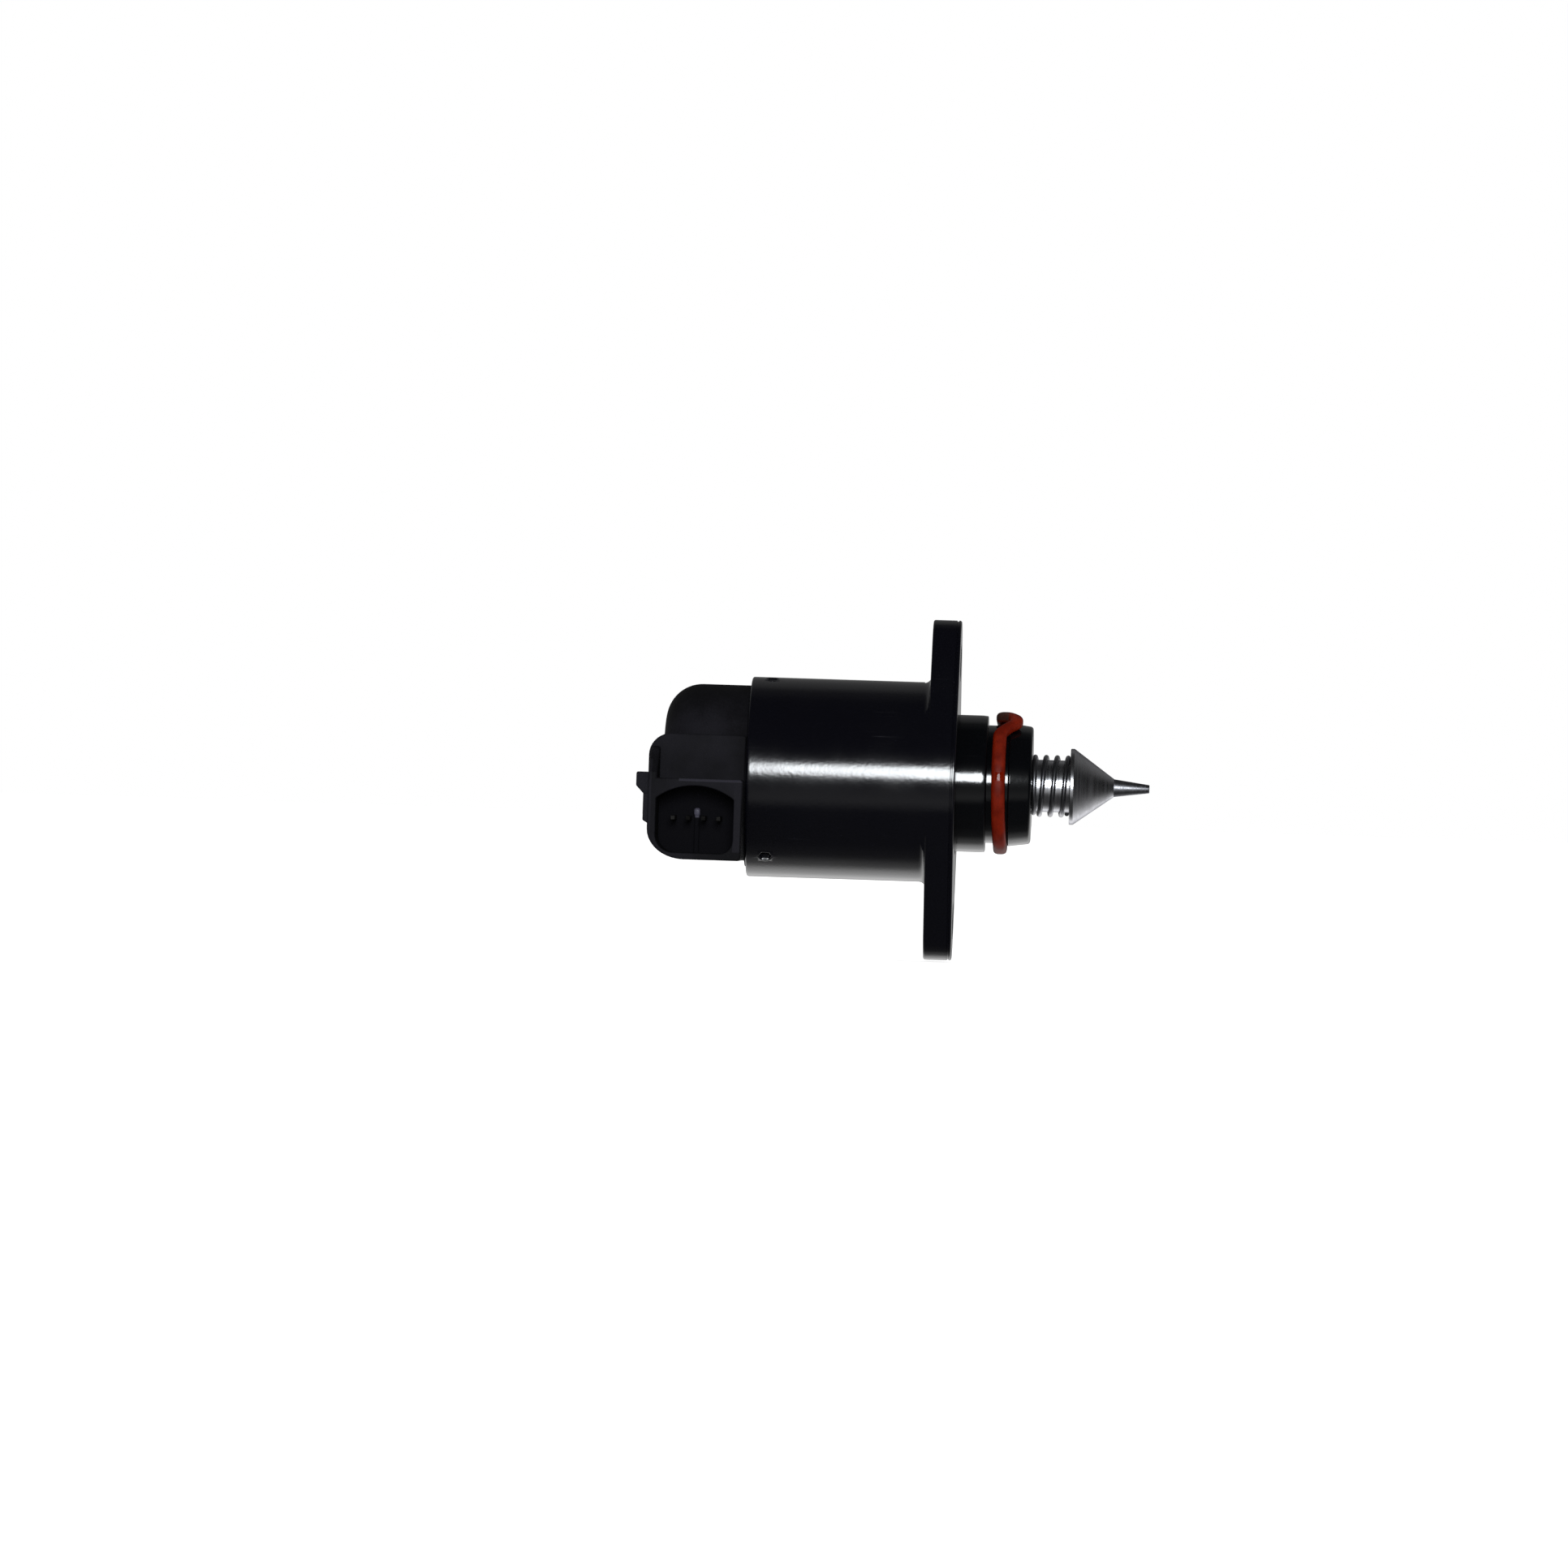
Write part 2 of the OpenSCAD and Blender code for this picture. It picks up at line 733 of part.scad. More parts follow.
module drive_nut() {
    color(brass_yellow)
        difference() {
            nut_body(0);
            rod(nut_rear - over, nut_front + over, screw_r + run_gap);
        }
}

// Lead screw, whose ground front end is the needle tip
module lead_screw() {
    color(bright_steel)
        spin()
            polygon([[0, screw_rear], [screw_r - screw_chamfer, screw_rear],
                     [screw_r, screw_rear + screw_chamfer],
                     [screw_r, screw_neck_x], [tip_r, screw_neck_x], [tip_r, cone_tip_x],
                     [tip_end_r, tip_x - tip_round], [tip_end_r - tip_round, tip_x], [0, tip_x]]);
}

module pintle_cone() {
    slot_floor = hub_r - key_depth - slot_gap;
    slot_w = key_w + 2 * slot_side_gap;
    slot_end = nose_len - key_inset + travel_in + hub_clear;
    color(dull_steel)
        difference() {
            union() {
                rod(-hub_back, cone_x + over / 2, hub_r);
                spin()
                    polygon([[0, cone_x], [cone_r, cone_x], [cone_r, cone_x + cone_rim],
                             [tip_r + seat_gap, cone_tip_x], [0, cone_tip_x]]);
            }
            rod(-hub_back - over, screw_neck_x + seat_gap, screw_r + fit_gap);
            rod(screw_neck_x, cone_tip_x + over, tip_r + seat_gap / 2);
            translate([-hub_back - over, slot_floor, -slot_w / 2])
                cube([slot_end + hub_back + over, hub_r, slot_w]);
        }
}

// Coil spring between the nose and the cone, with a flat stretch at each end
module pintle_spring() {
    coil_r = hub_r + run_gap + wire_d / 2;
    first_x = nose_len + wire_d / 2 + seat_gap;
    last_x = cone_x - wire_d / 2 - seat_gap;
    rings = 96;
    turns = spring_turns + 2 * spring_flat;
    color(bright_steel)
        loft([for (i = [0 : rings])
            let (turn = turns * i / rings - spring_flat)
            let (x = first_x + (last_x - first_x) * min(1, max(0, turn / spring_turns)))
            path_section(x, coil_r, 90 + 360 * turn, wire_d / 2, 10)], false);
}

// Ring of pole claws that stand on a sheet at root_x and point along side
module claws(root_x, side, turn) {
    tip_x = root_x + side * claw_len;
    for (i = [0 : claw_count - 1])
        intersection() {
            spin()
                band(min(root_x, tip_x), max(root_x, tip_x), pole_r, pole_r + sheet_t);
            radial(360 * i / claw_count + turn)
                linear_extrude(pole_r + 2 * sheet_t)
                    polygon([[root_x - side, -claw_root_w / 2], [root_x, -claw_root_w / 2],
                             [tip_x, -claw_tip_w / 2], [tip_x, claw_tip_w / 2],
                             [root_x, claw_root_w / 2], [root_x - side, claw_root_w / 2]]);
        }
}

// Pole cup: end sheet at face_x, outer wall and claws that point along side
module pole_cup(face_x, side, turn) {
    inner_x = face_x + side * sheet_t;
    wall_x = face_x + side * (coil_len - sheet_t - seat_gap);
    color(dull_steel) {
        spin() {
            band(min(face_x, inner_x), max(face_x, inner_x), pole_r, pack_r);
            band(min(face_x, wall_x), max(face_x, wall_x), pack_r - sheet_t, pack_r);
        }
        claws(face_x + side * sheet_t / 2, side, turn);
    }
}

// Pole plate: sheet that closes a cup, with claws between the cup's own
module pole_plate(face_x, side, turn) {
    inner_x = face_x + side * sheet_t;
    color(dull_steel) {
        spin()
            band(min(face_x, inner_x), max(face_x, inner_x), pole_r, pack_r);
        claws(face_x + side * sheet_t / 2, side, turn + 180 / claw_count);
    }
}

module pole_cup_front() {
    pole_cup(stack_front, -1, 0);
}

module pole_plate_front() {
    pole_plate(stack_front - coil_len, 1, 0);
}

module pole_cup_rear() {
    pole_cup(stack_rear, 1, phase_shift);
}

module pole_plate_rear() {
    pole_plate(stack_rear + coil_len, -1, phase_shift);
}

// Spool between a cup and its plate, for the coil that starts at x0
module bobbin(x0) {
    low = x0 + sheet_t + seat_gap;
    high = x0 + coil_len - sheet_t - seat_gap;
    color(bobbin_white)
        spin() {
            band(low, high, bobbin_bore_r, bobbin_bore_r + bobbin_t);
            band(low, low + bobbin_t, bobbin_bore_r, bobbin_rim_r);
            band(high - bobbin_t, high, bobbin_bore_r, bobbin_rim_r);
        }
}

// Copper winding of the coil that starts at x0
module winding(x0) {
    edge = sheet_t + bobbin_t + 2 * seat_gap;
    color(copper_red)
        spin()
            band(x0 + edge, x0 + coil_len - edge,
                 bobbin_bore_r + bobbin_t + seat_gap, bobbin_rim_r - winding_inset);
}

module bobbin_front() {
    bobbin(stack_front - coil_len);
}

module winding_front() {
    winding(stack_front - coil_len);
}

module bobbin_rear() {
    bobbin(stack_rear);
}

module winding_rear() {
    winding(stack_rear);
}

// Place across the axis at which a pin runs forward
function lane_y(i) = socket_end + pin_lane_inset + (3 - i) * pin_lane;

// End plate that holds the bush, with a window for the pins
module rear_end_plate() {
    window_y0 = lane_y(3) - window_rear_gap;
    window_y1 = lane_y(0) + window_front_gap;
    pocket_rear = bush_rear - bush_lip;
    color(dull_steel)
        difference() {
            union() {
                rod(plate_rear, plate_front, pack_r);
                rod(pocket_rear, plate_rear + plate_t / 2, bush_r + fit_gap + bush_wall);
            }
            rod(bush_rear, plate_front + over, bush_r + fit_gap);
            rod(pocket_rear - over, bush_rear + over, journal_r + fit_gap);
            translate([pocket_rear - over, window_y0, -pin_drop - window_h / 2])
                cube([plate_front - pocket_rear + 2 * over, window_y1 - window_y0, window_h]);
        }
}

module rear_bush() {
    color(brass_yellow)
        spin()
            band(bush_rear + seat_gap, bush_front, journal_r + run_gap, bush_r);
}

module cap_seal() {
    color(rubber_black)
        spin()
            translate([seal_mid_r, seal_x])
                circle(r = seal_d / 2 - seat_gap);
}

// Round body of the cap behind the can, with its rounded rear edge
module cap_body() {
    intersection() {
        spin() {
            band(cap_rear + cap_fillet, -can_len - seat_gap, 0, cap_r);
            band(cap_rear, -can_len - seat_gap, 0, cap_r - cap_fillet);
            translate([cap_r - cap_fillet, cap_rear + cap_fillet])
                circle(r = cap_fillet);
        }
        translate([cap_rear - over, -cap_r - over, -cap_flat])
            cube([cap_len + 2 * over, 2 * cap_r + 2 * over, cap_flat + cap_r + over]);
    }
}

// Plug inside the can, with its lock groove and its seal's groove
module cap_plug() {
    spin()
        difference() {
            band(-can_len - over / 4, plug_front, hollow_r - over / 2, plug_r);
            band(dimple_x - lock_groove_w / 2, dimple_x + lock_groove_w / 2,
                 plug_r - lock_groove_d, plug_r + over);
            band(seal_groove_front - seal_groove_w, seal_groove_front, plug_r - seal_d, plug_r + over);
        }
}

// Space inside the cap, open towards the stator
module cap_hollow() {
    spin() {
        band(hollow_rear + hollow_round, plug_front + over, 0, hollow_r);
        band(hollow_rear, plug_front + over, 0, hollow_r - hollow_round);
        translate([hollow_r - hollow_round, hollow_rear + hollow_round])
            circle(r = hollow_round);
    }
}

// Socket for the plug: straight walls, rounded low corners and an arched top
module socket() {
    along_y(-shroud_reach - over, socket_end)
        intersection() {
            rounded(socket_rear, socket_low, socket_front, socket_top, socket_rounds);
            translate([socket_mid, socket_top - arch_r])
                circle(r = arch_r);
        }
}

// Lock lug and the pad below it, on the shroud's rear wall
module lock_lug() {
    lug_low = lug_top - lug_t;
    slant_low = lug_low - lug_slant;
    pad_low = slant_low - pad_len;
    pad_end = pad_low - pad_taper;
    root_x = shroud_rear + over;
    lug_x = shroud_rear - lug_h;
    pad_x = shroud_rear - pad_h;
    along_y(-shroud_reach + lug_inset, -shroud_reach + lug_inset + lug_w)
        polygon([[root_x, lug_top], [lug_x, lug_top], [lug_x, lug_low],
                 [pad_x, slant_low], [pad_x, pad_low], [root_x, pad_end]]);
    along_y(-shroud_reach + pad_inset, -block_front)
        polygon([[root_x, slant_low], [pad_x, slant_low], [pad_x, pad_low],
                 [shroud_rear, pad_end], [root_x, pad_end]]);
}

// Web that carries the shroud's rear wall up to the block
module shroud_web() {
    foot_z = -shroud_drop - web_foot;
    translate([shroud_rear, 0, 0])
        rotate([90, 0, 90])
            linear_extrude(web_w)
                polygon([[-block_front + over, foot_z], [-shroud_reach, foot_z],
                         [-shroud_reach, lug_top], [-block_front - web_run, block_top - web_run],
                         [-block_front + over, block_top - web_drop]]);
}

// The path of one pin, with its section grown by a gap on every side
module pin_path(i, gap) {
    x = socket_mid + (i - 1.5) * pin_pitch;
    half = pin_w / 2 + gap;
    translate([x - half, pin_tip_y, -pin_drop - half])
        cube([2 * half, lane_y(i) + half - pin_tip_y, 2 * half]);
    translate([x - half, lane_y(i) - half, -pin_drop - half])
        cube([pin_end_x - x + half, 2 * half, 2 * half]);
}

module connector_cap() {
    color(plastic_black)
        difference() {
            union() {
                difference() {
                    union() {
                        cap_body();
                        cap_plug();
                        along_y(-block_front, block_rear)
                            rounded(block_back, -cap_flat, shroud_front, block_top,
                                    [block_low_round, small_round, small_round, block_top_round]);
                        along_y(-shroud_reach, -block_front + over)
                            rounded(shroud_rear, -cap_flat, shroud_front, -shroud_drop,
                                    [block_low_round, small_round, small_round, small_round]);
                        shroud_web();
                        lock_lug();
                    }
                    cap_hollow();
                    socket();
                }
                translate([socket_mid - rib_w / 2, socket_end - rib_h, socket_low - rib_foot])
                    cube([rib_w, rib_h + rib_foot, rib_over - pin_drop - socket_low + rib_foot]);
            }
            for (i = [0 : 3])
                pin_path(i, pin_slack);
        }
}

// One of the four terminal pins, bent forward inside the cap
module terminal_pin(i) {
    color(brass_yellow)
        pin_path(i, 0);
}

can_housing();
nose_housing();
sealing_ring();
guide_key();
wave_washer();
bearing_outer_race();
bearing_inner_race();
bearing_cage();
bearing_balls();
rotor_magnet();
rotor_hub();
drive_nut();
lead_screw();
pintle_cone();
pintle_spring();
pole_cup_front();
pole_plate_front();
bobbin_front();
winding_front();
pole_cup_rear();
pole_plate_rear();
bobbin_rear();
winding_rear();
rear_end_plate();
rear_bush();
connector_cap();
cap_seal();
terminal_pin(0);  // terminal_pin_1
terminal_pin(1);  // terminal_pin_2
terminal_pin(2);  // terminal_pin_3
terminal_pin(3);  // terminal_pin_4
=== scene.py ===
"""Idle air control valve: finishes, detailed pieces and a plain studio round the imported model.

Lengths are in metres. X runs along the valve's axis towards the needle tip, Z through both
ears, and the connector's mouth faces -Y, the side that the camera sees.
"""

import logging
import math
from collections.abc import Callable, Sequence
from dataclasses import dataclass
from enum import Enum

import bmesh
import bpy
from mathutils import Matrix, Vector


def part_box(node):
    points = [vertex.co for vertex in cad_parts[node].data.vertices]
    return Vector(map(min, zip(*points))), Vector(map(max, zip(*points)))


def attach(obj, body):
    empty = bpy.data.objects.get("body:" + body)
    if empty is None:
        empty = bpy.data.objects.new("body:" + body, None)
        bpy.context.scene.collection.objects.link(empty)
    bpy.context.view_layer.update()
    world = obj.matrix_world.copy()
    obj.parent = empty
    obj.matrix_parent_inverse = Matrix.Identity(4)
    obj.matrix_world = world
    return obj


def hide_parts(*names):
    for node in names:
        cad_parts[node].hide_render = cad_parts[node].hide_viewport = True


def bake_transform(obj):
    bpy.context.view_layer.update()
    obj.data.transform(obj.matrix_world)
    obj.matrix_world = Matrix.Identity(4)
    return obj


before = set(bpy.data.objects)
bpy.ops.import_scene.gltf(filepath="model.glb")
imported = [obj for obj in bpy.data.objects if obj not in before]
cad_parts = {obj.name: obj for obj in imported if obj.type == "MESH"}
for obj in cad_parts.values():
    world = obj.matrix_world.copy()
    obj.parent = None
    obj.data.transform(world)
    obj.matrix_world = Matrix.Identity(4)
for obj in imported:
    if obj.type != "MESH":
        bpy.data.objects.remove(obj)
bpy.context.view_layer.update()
LOG = logging.getLogger("valve")
MM = 0.001

Colour = tuple[float, float, float]
Point = tuple[float, float, float]
Socket = bpy.types.NodeSocket
Source = Socket | float | Sequence[float]
Stops = tuple[tuple[float, float], ...]


class Body(Enum):
    """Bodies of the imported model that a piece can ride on."""

    HOUSING = "housing"
    ROTOR = "rotor"
    BALL_SET = "ball_set"
    PINTLE = "pintle"


class Slot(Enum):
    """Material slots of the record."""

    BLACK_PAINT = "black_paint"
    NOSE_BLACK = "nose_black"
    BLACK_PLASTIC = "black_plastic"
    SILICONE = "silicone"
    SATIN_STEEL = "satin_steel"
    BRIGHT_STEEL = "bright_steel"
    SPRING_STEEL = "spring_steel"
    DULL_STEEL = "dull_steel"
    MAGNET = "magnet"
    WHITE_PLASTIC = "white_plastic"
    COPPER = "copper"
    BRASS = "brass"
    BLACK_RUBBER = "black_rubber"
    TINNED_PIN = "tinned_pin"


class Wiring:
    """Node tree with short calls that add and link its nodes."""

    def __init__(self, tree: bpy.types.NodeTree) -> None:
        """Empties the tree.

        Args:
            tree: Tree that gets the nodes.
        """
        self.tree = tree
        tree.nodes.clear()

    def feed(self, target: Socket, source: Source) -> None:
        """Links a socket to another, or sets its value.

        Args:
            target: Input to fill.
            source: Output socket, number, vector or colour.
        """
        if isinstance(source, bpy.types.NodeSocket):
            self.tree.links.new(source, target)
        elif target.type == "RGBA" and len(source) == 3:
            target.default_value = (*source, 1.0)
        else:
            target.default_value = source

    def node(self, kind: str, **inputs: Source) -> bpy.types.Node:
        """Adds a node and fills its inputs.

        Args:
            kind: Type of the node.
            inputs: Sockets or values by input name, with _ for a space.

        Returns:
            The node.
        """
        node = self.tree.nodes.new(kind)
        for name, source in inputs.items():
            self.feed(node.inputs[name.replace("_", " ")], source)
        return node

    def math(self, operation: str, *values: Source) -> Socket:
        """Result of a Math node.

        Args:
            operation: Operation of the node.
            values: Its values in order.

        Returns:
            The value socket.
        """
        node = self.node("ShaderNodeMath")
        node.operation = operation
        for target, source in zip(node.inputs, values):
            self.feed(target, source)
        return node.outputs[0]

    def blend(self, share: Source, first: Source, second: Source, colour: bool = True) -> Socket:
        """Mix of two colours or two numbers.

        Args:
            share: 0 for the first one, 1 for the second.
            first: First colour or number.
            second: Second colour or number.
            colour: Whether they are colours.

        Returns:
            The colour or value socket.
        """
        node = self.node("ShaderNodeMix")
        node.data_type = "RGBA" if colour else "FLOAT"
        place = 6 if colour else 2
        self.feed(node.inputs[0], share)
        self.feed(node.inputs[place], first)
        self.feed(node.inputs[place + 1], second)
        return node.outputs[2 if colour else 0]


class Graph(Wiring):
    """Node tree of one material, with short calls for the nodes that the finishes use."""

    def __init__(self, name: str) -> None:
        """Makes the material with a Principled shader and its output.

        Args:
            name: Name of the material.
        """
        self.material = bpy.data.materials.new(name)
        self.material.use_nodes = True
        super().__init__(self.material.node_tree)
        self.shader = self.node("ShaderNodeBsdfPrincipled")
        self.node("ShaderNodeOutputMaterial", Surface=self.shader.outputs["BSDF"])
        self.place = self.node("ShaderNodeTexCoord").outputs["Object"]

    def set(self, name: str, source: Source) -> None:
        """Fills an input of the shader.

        Args:
            name: Name of the input.
            source: Output socket, number or colour.
        """
        self.feed(self.shader.inputs[name], source)

    def stretched(self, scale: Sequence[float]) -> Socket:
        """Object coordinates, scaled per axis.

        Args:
            scale: Factor along X, Y and Z.

        Returns:
            The vector socket.
        """
        return self.node("ShaderNodeMapping", Vector=self.place, Scale=scale).outputs["Vector"]

    def noise(self, scale: float, detail: float = 3.0, roughness: float = 0.5,
              vector: Socket | None = None) -> Socket:
        """Noise between 0 and 1.

        Args:
            scale: Waves for each metre, or for each unit of the vector given.
            detail: Number of octaves.
            roughness: Share of the finer octaves.
            vector: Coordinates, or None for the object's own.

        Returns:
            The value socket.
        """
        return self.node("ShaderNodeTexNoise", Vector=vector or self.place, Scale=scale, Detail=detail,
                         Roughness=roughness).outputs["Fac"]

    def cells(self, scale: float) -> Socket:
        """Distance to the nearest of a set of scattered points.

        Args:
            scale: Points for each metre.

        Returns:
            The value socket.
        """
        return self.node("ShaderNodeTexVoronoi", Vector=self.place, Scale=scale).outputs["Distance"]

    def remap(self, value: Source, low: float, high: float, to_low: float, to_high: float) -> Socket:
        """Value moved from one range to another, with smooth ends.

        Args:
            value: Value to move.
            low: Start of the old range.
            high: End of the old range.
            to_low: Start of the new range.
            to_high: End of the new range.

        Returns:
            The value socket.
        """
        node = self.node("ShaderNodeMapRange")
        node.interpolation_type = "SMOOTHSTEP"
        for index, item in enumerate((value, low, high, to_low, to_high)):
            self.feed(node.inputs[index], item)
        return node.outputs["Result"]

    def relief(self, height: Socket, depth: float, strength: float = 1.0,
               under: Socket | None = None) -> Socket:
        """Normal that follows a height.

        Args:
            height: Height between 0 and 1.
            depth: Real depth of the relief, in metres.
            strength: Share of the effect.
            under: Normal of a coarser relief below this one.

        Returns:
            The normal socket.
        """
        node = self.node("ShaderNodeBump", Height=height, Distance=depth, Strength=strength)
        if under is not None:
            self.feed(node.inputs["Normal"], under)
        return node.outputs["Normal"]

    def inside(self, low: Sequence[float], high: Sequence[float], soft: float) -> Socket:
        """Mask of a box with soft sides.

        Args:
            low: Lowest corner, in metres.
            high: Highest corner, in metres.
            soft: Width over which the mask fades out beyond the box, in metres.

        Returns:
            The value socket, 1 in the box.
        """
        split = self.node("ShaderNodeSeparateXYZ", Vector=self.place)
        mask: Source = 1.0
        for axis, (start, end) in enumerate(zip(low, high)):
            above = self.remap(split.outputs[axis], start - soft, start, 0.0, 1.0)
            below = self.remap(split.outputs[axis], end, end + soft, 1.0, 0.0)
            mask = self.math("MULTIPLY", mask, self.math("MULTIPLY", above, below))
        return mask

    def along_and_out(self) -> Socket:
        """Place along the valve's axis and distance from it, which turned marks follow.

        Returns:
            The vector socket, in metres.
        """
        x, y, z = self.node("ShaderNodeSeparateXYZ", Vector=self.place).outputs
        squares = [self.math("MULTIPLY", side, side) for side in (y, z)]
        out = self.math("SQRT", self.math("ADD", *squares))
        return self.node("ShaderNodeCombineXYZ", X=x, Y=out).outputs["Vector"]


FAR_TOP_BROWN: Colour = (0.045, 0.026, 0.020)


@dataclass(frozen=True)
class GlossPaint:
    """Baked gloss enamel: slight orange peel, dust specks and fine rub marks."""

    name: str
    colour: Colour
    roughness: float
    peel: float
    wear: float

    def build(self) -> bpy.types.Material:
        """Builds the material.

        Returns:
            The material.
        """
        g = Graph(self.name)
        peel = g.noise(1800.0, 2.0, 0.45)
        dust = g.remap(g.cells(2600.0), 0.0, 0.09, 1.0, 0.0)
        rub = g.remap(g.noise(1.0, 4.0, 0.6, g.stretched((90.0, 5200.0, 2400.0))), 0.62, 0.74, 0.0, 1.0)
        cloud = g.noise(140.0, 4.0, 0.55)
        scuffed = g.math("MULTIPLY", rub, g.remap(cloud, 0.5, 0.7, 0.0, self.wear))
        pale = tuple(0.02 + 4.0 * c for c in self.colour)
        worn = g.math("MULTIPLY", g.math("ADD", dust, scuffed), 0.35)
        g.set("Base Color", g.blend(worn, self.colour, pale))
        spread = g.remap(cloud, 0.3, 0.75, self.roughness * 0.85, self.roughness * 1.25)
        g.set("Roughness", g.math("ADD", spread, g.math("MULTIPLY", scuffed, 0.12)))
        g.set("IOR", 1.5)
        waves = g.relief(peel, self.peel)
        g.set("Normal", g.relief(g.math("ADD", rub, dust), 0.0000012, self.wear, waves))
        return g.material


@dataclass(frozen=True)
class MouldedPlastic:
    """Moulded glass-filled plastic: fine spark-eroded grain and faint flow clouds."""

    name: str
    colour: Colour
    roughness: float
    grain: float
    shine: float = 0.5
    painted_socket_shade: tuple[Point, Point] | None = None
    glint_spot: tuple[Point, Point] | None = None
    painted_edge_highlights: tuple[tuple[Point, Point, float], ...] = ()

    def build(self) -> bpy.types.Material:
        """Builds the material.

        Painted shade darkens the socket's inner faces, a painted glint brightens the domed spot at the top of the
        rib, which is also smoother, and painted highlights brighten a few edges.

        Returns:
            The material.
        """
        g = Graph(self.name)
        cloud = g.noise(110.0, 4.0, 0.6)
        fine = g.noise(5200.0, 3.0, 0.6)
        light = tuple(c * 1.6 for c in self.colour)
        dark = tuple(c * 0.6 for c in self.colour)
        tone = g.math("ADD", g.math("MULTIPLY", cloud, 0.7), g.math("MULTIPLY", fine, 0.3))
        colour = g.blend(g.remap(tone, 0.35, 0.65, 0.0, 1.0), dark, light)
        rough = g.remap(fine, 0.3, 0.7, self.roughness - 0.06, self.roughness + 0.08)
        # Painted shade: the socket's inner faces get a darker colour and a higher roughness.
        if self.painted_socket_shade:
            socket_shade_mask = g.inside(*self.painted_socket_shade, 0.1 * MM)
            colour = g.blend(socket_shade_mask, colour, tuple(c * 0.8 for c in self.colour))
            rough = g.math("ADD", rough, g.math("MULTIPLY", socket_shade_mask, 0.25))
        # Painted glint: the spot at the top of the rib gets a much paler colour and a lower roughness.
        if self.glint_spot:
            painted_glint = g.inside(*self.glint_spot, 0.35 * MM)
            colour = g.blend(painted_glint, colour, tuple(c * 14.0 for c in self.colour))
            rough = g.math("SUBTRACT", rough, g.math("MULTIPLY", painted_glint, 0.6))
        # Painted highlights: pale strips along the shroud's top edge, its front side edge and the cap's left lip.
        for low, high, highlight_gain in self.painted_edge_highlights:
            edge = g.inside(low, high, 0.12 * MM)
            colour = g.blend(edge, colour, tuple(c * highlight_gain for c in self.colour))
        g.set("Base Color", colour)
        g.set("Roughness", rough)
        g.set("Specular IOR Level", self.shine)
        pits = g.remap(g.cells(3400.0), 0.0, 0.5, 0.0, 1.0)
        g.set("Normal", g.relief(fine, self.grain, 0.9, g.relief(pits, self.grain, 0.5)))
        return g.material


@dataclass(frozen=True)
class SoftRubber:
    """Moulded silicone or rubber: satin, slightly mottled, with a fine bloom."""

    name: str
    colour: Colour
    roughness: float
    glow: float
    shine: float = 0.5
    glint_spot: tuple[Point, Point] | None = None
    darkened_far_top: tuple[Point, Point] | None = None

    def build(self) -> bpy.types.Material:
        """Builds the material.

        Returns:
            The material.
        """
        g = Graph(self.name)
        cloud = g.noise(420.0, 5.0, 0.6)
        fine = g.noise(6500.0, 2.0, 0.5)
        deep = tuple(c * 0.72 for c in self.colour)
        pale = (self.colour[0] * 1.25, self.colour[1] * 1.5, self.colour[2] * 1.7)
        colour = g.blend(g.remap(cloud, 0.35, 0.68, 0.0, 1.0), deep, pale)
        rough = g.remap(cloud, 0.3, 0.7, self.roughness - 0.05, self.roughness + 0.1)
        if self.glint_spot:
            rough = g.math("SUBTRACT", rough, g.math("MULTIPLY", g.inside(*self.glint_spot, 0.2 * MM), 0.34))
        # The far top of the ring is blended towards dark brown.
        if self.darkened_far_top:
            far_top_darkening = g.math("MULTIPLY", g.inside(*self.darkened_far_top, 0.5 * MM), g.remap(cloud, 0.3, 0.55, 0.6, 0.95))
            colour = g.blend(far_top_darkening, colour, FAR_TOP_BROWN)
        g.set("Base Color", colour)
        g.set("Roughness", rough)
        g.set("Specular IOR Level", self.shine)
        g.set("Subsurface Weight", self.glow)
        g.set("Subsurface Radius", (1.0, 0.35, 0.2))
        g.set("Subsurface Scale", 0.4 * MM)
        g.set("Normal", g.relief(fine, 0.000003))
        return g.material


@dataclass(frozen=True)
class TurnedMetal:
    """Turned or ground metal: rings of tool marks round the valve's axis and a few stains."""

    name: str
    colour: Colour
    roughness: float
    marks: float
    ring_scale: float = 2600.0

    def build(self) -> bpy.types.Material:
        """Builds the material.

        Returns:
            The material.
        """
        g = Graph(self.name)
        rings = g.noise(self.ring_scale, 5.0, 0.7, g.along_and_out())
        stain = g.noise(260.0, 4.0, 0.6)
        dark = tuple(c * 0.72 for c in self.colour)
        g.set("Base Color", g.blend(g.remap(stain, 0.35, 0.7, 0.0, 1.0), self.colour, dark))
        g.set("Metallic", 1.0)
        g.set("Specular Tint", (0.4, 0.4, 0.42))
        rough = g.remap(rings, 0.3, 0.7, self.roughness * 0.75, self.roughness * 1.3)
        g.set("Roughness", g.math("ADD", rough, g.math("MULTIPLY", stain, 0.05)))
        g.set("Normal", g.relief(rings, self.marks))
        return g.material


@dataclass(frozen=True)
class PressedMetal:
    """Pressed, drawn or sintered metal with an even fine grain."""

    name: str
    colour: Colour
    roughness: float
    grain: float
    metallic: float = 1.0

    def build(self) -> bpy.types.Material:
        """Builds the material.

        Returns:
            The material.
        """
        g = Graph(self.name)
        cloud = g.noise(230.0, 5.0, 0.6)
        fine = g.noise(4200.0, 3.0, 0.6)
        dark = tuple(c * 0.65 for c in self.colour)
        g.set("Base Color", g.blend(g.remap(cloud, 0.35, 0.7, 0.0, 1.0), self.colour, dark))
        g.set("Metallic", self.metallic)
        g.set("Roughness", g.remap(cloud, 0.3, 0.7, self.roughness * 0.8, self.roughness * 1.25))
        g.set("Normal", g.relief(fine, self.grain))
        return g.material


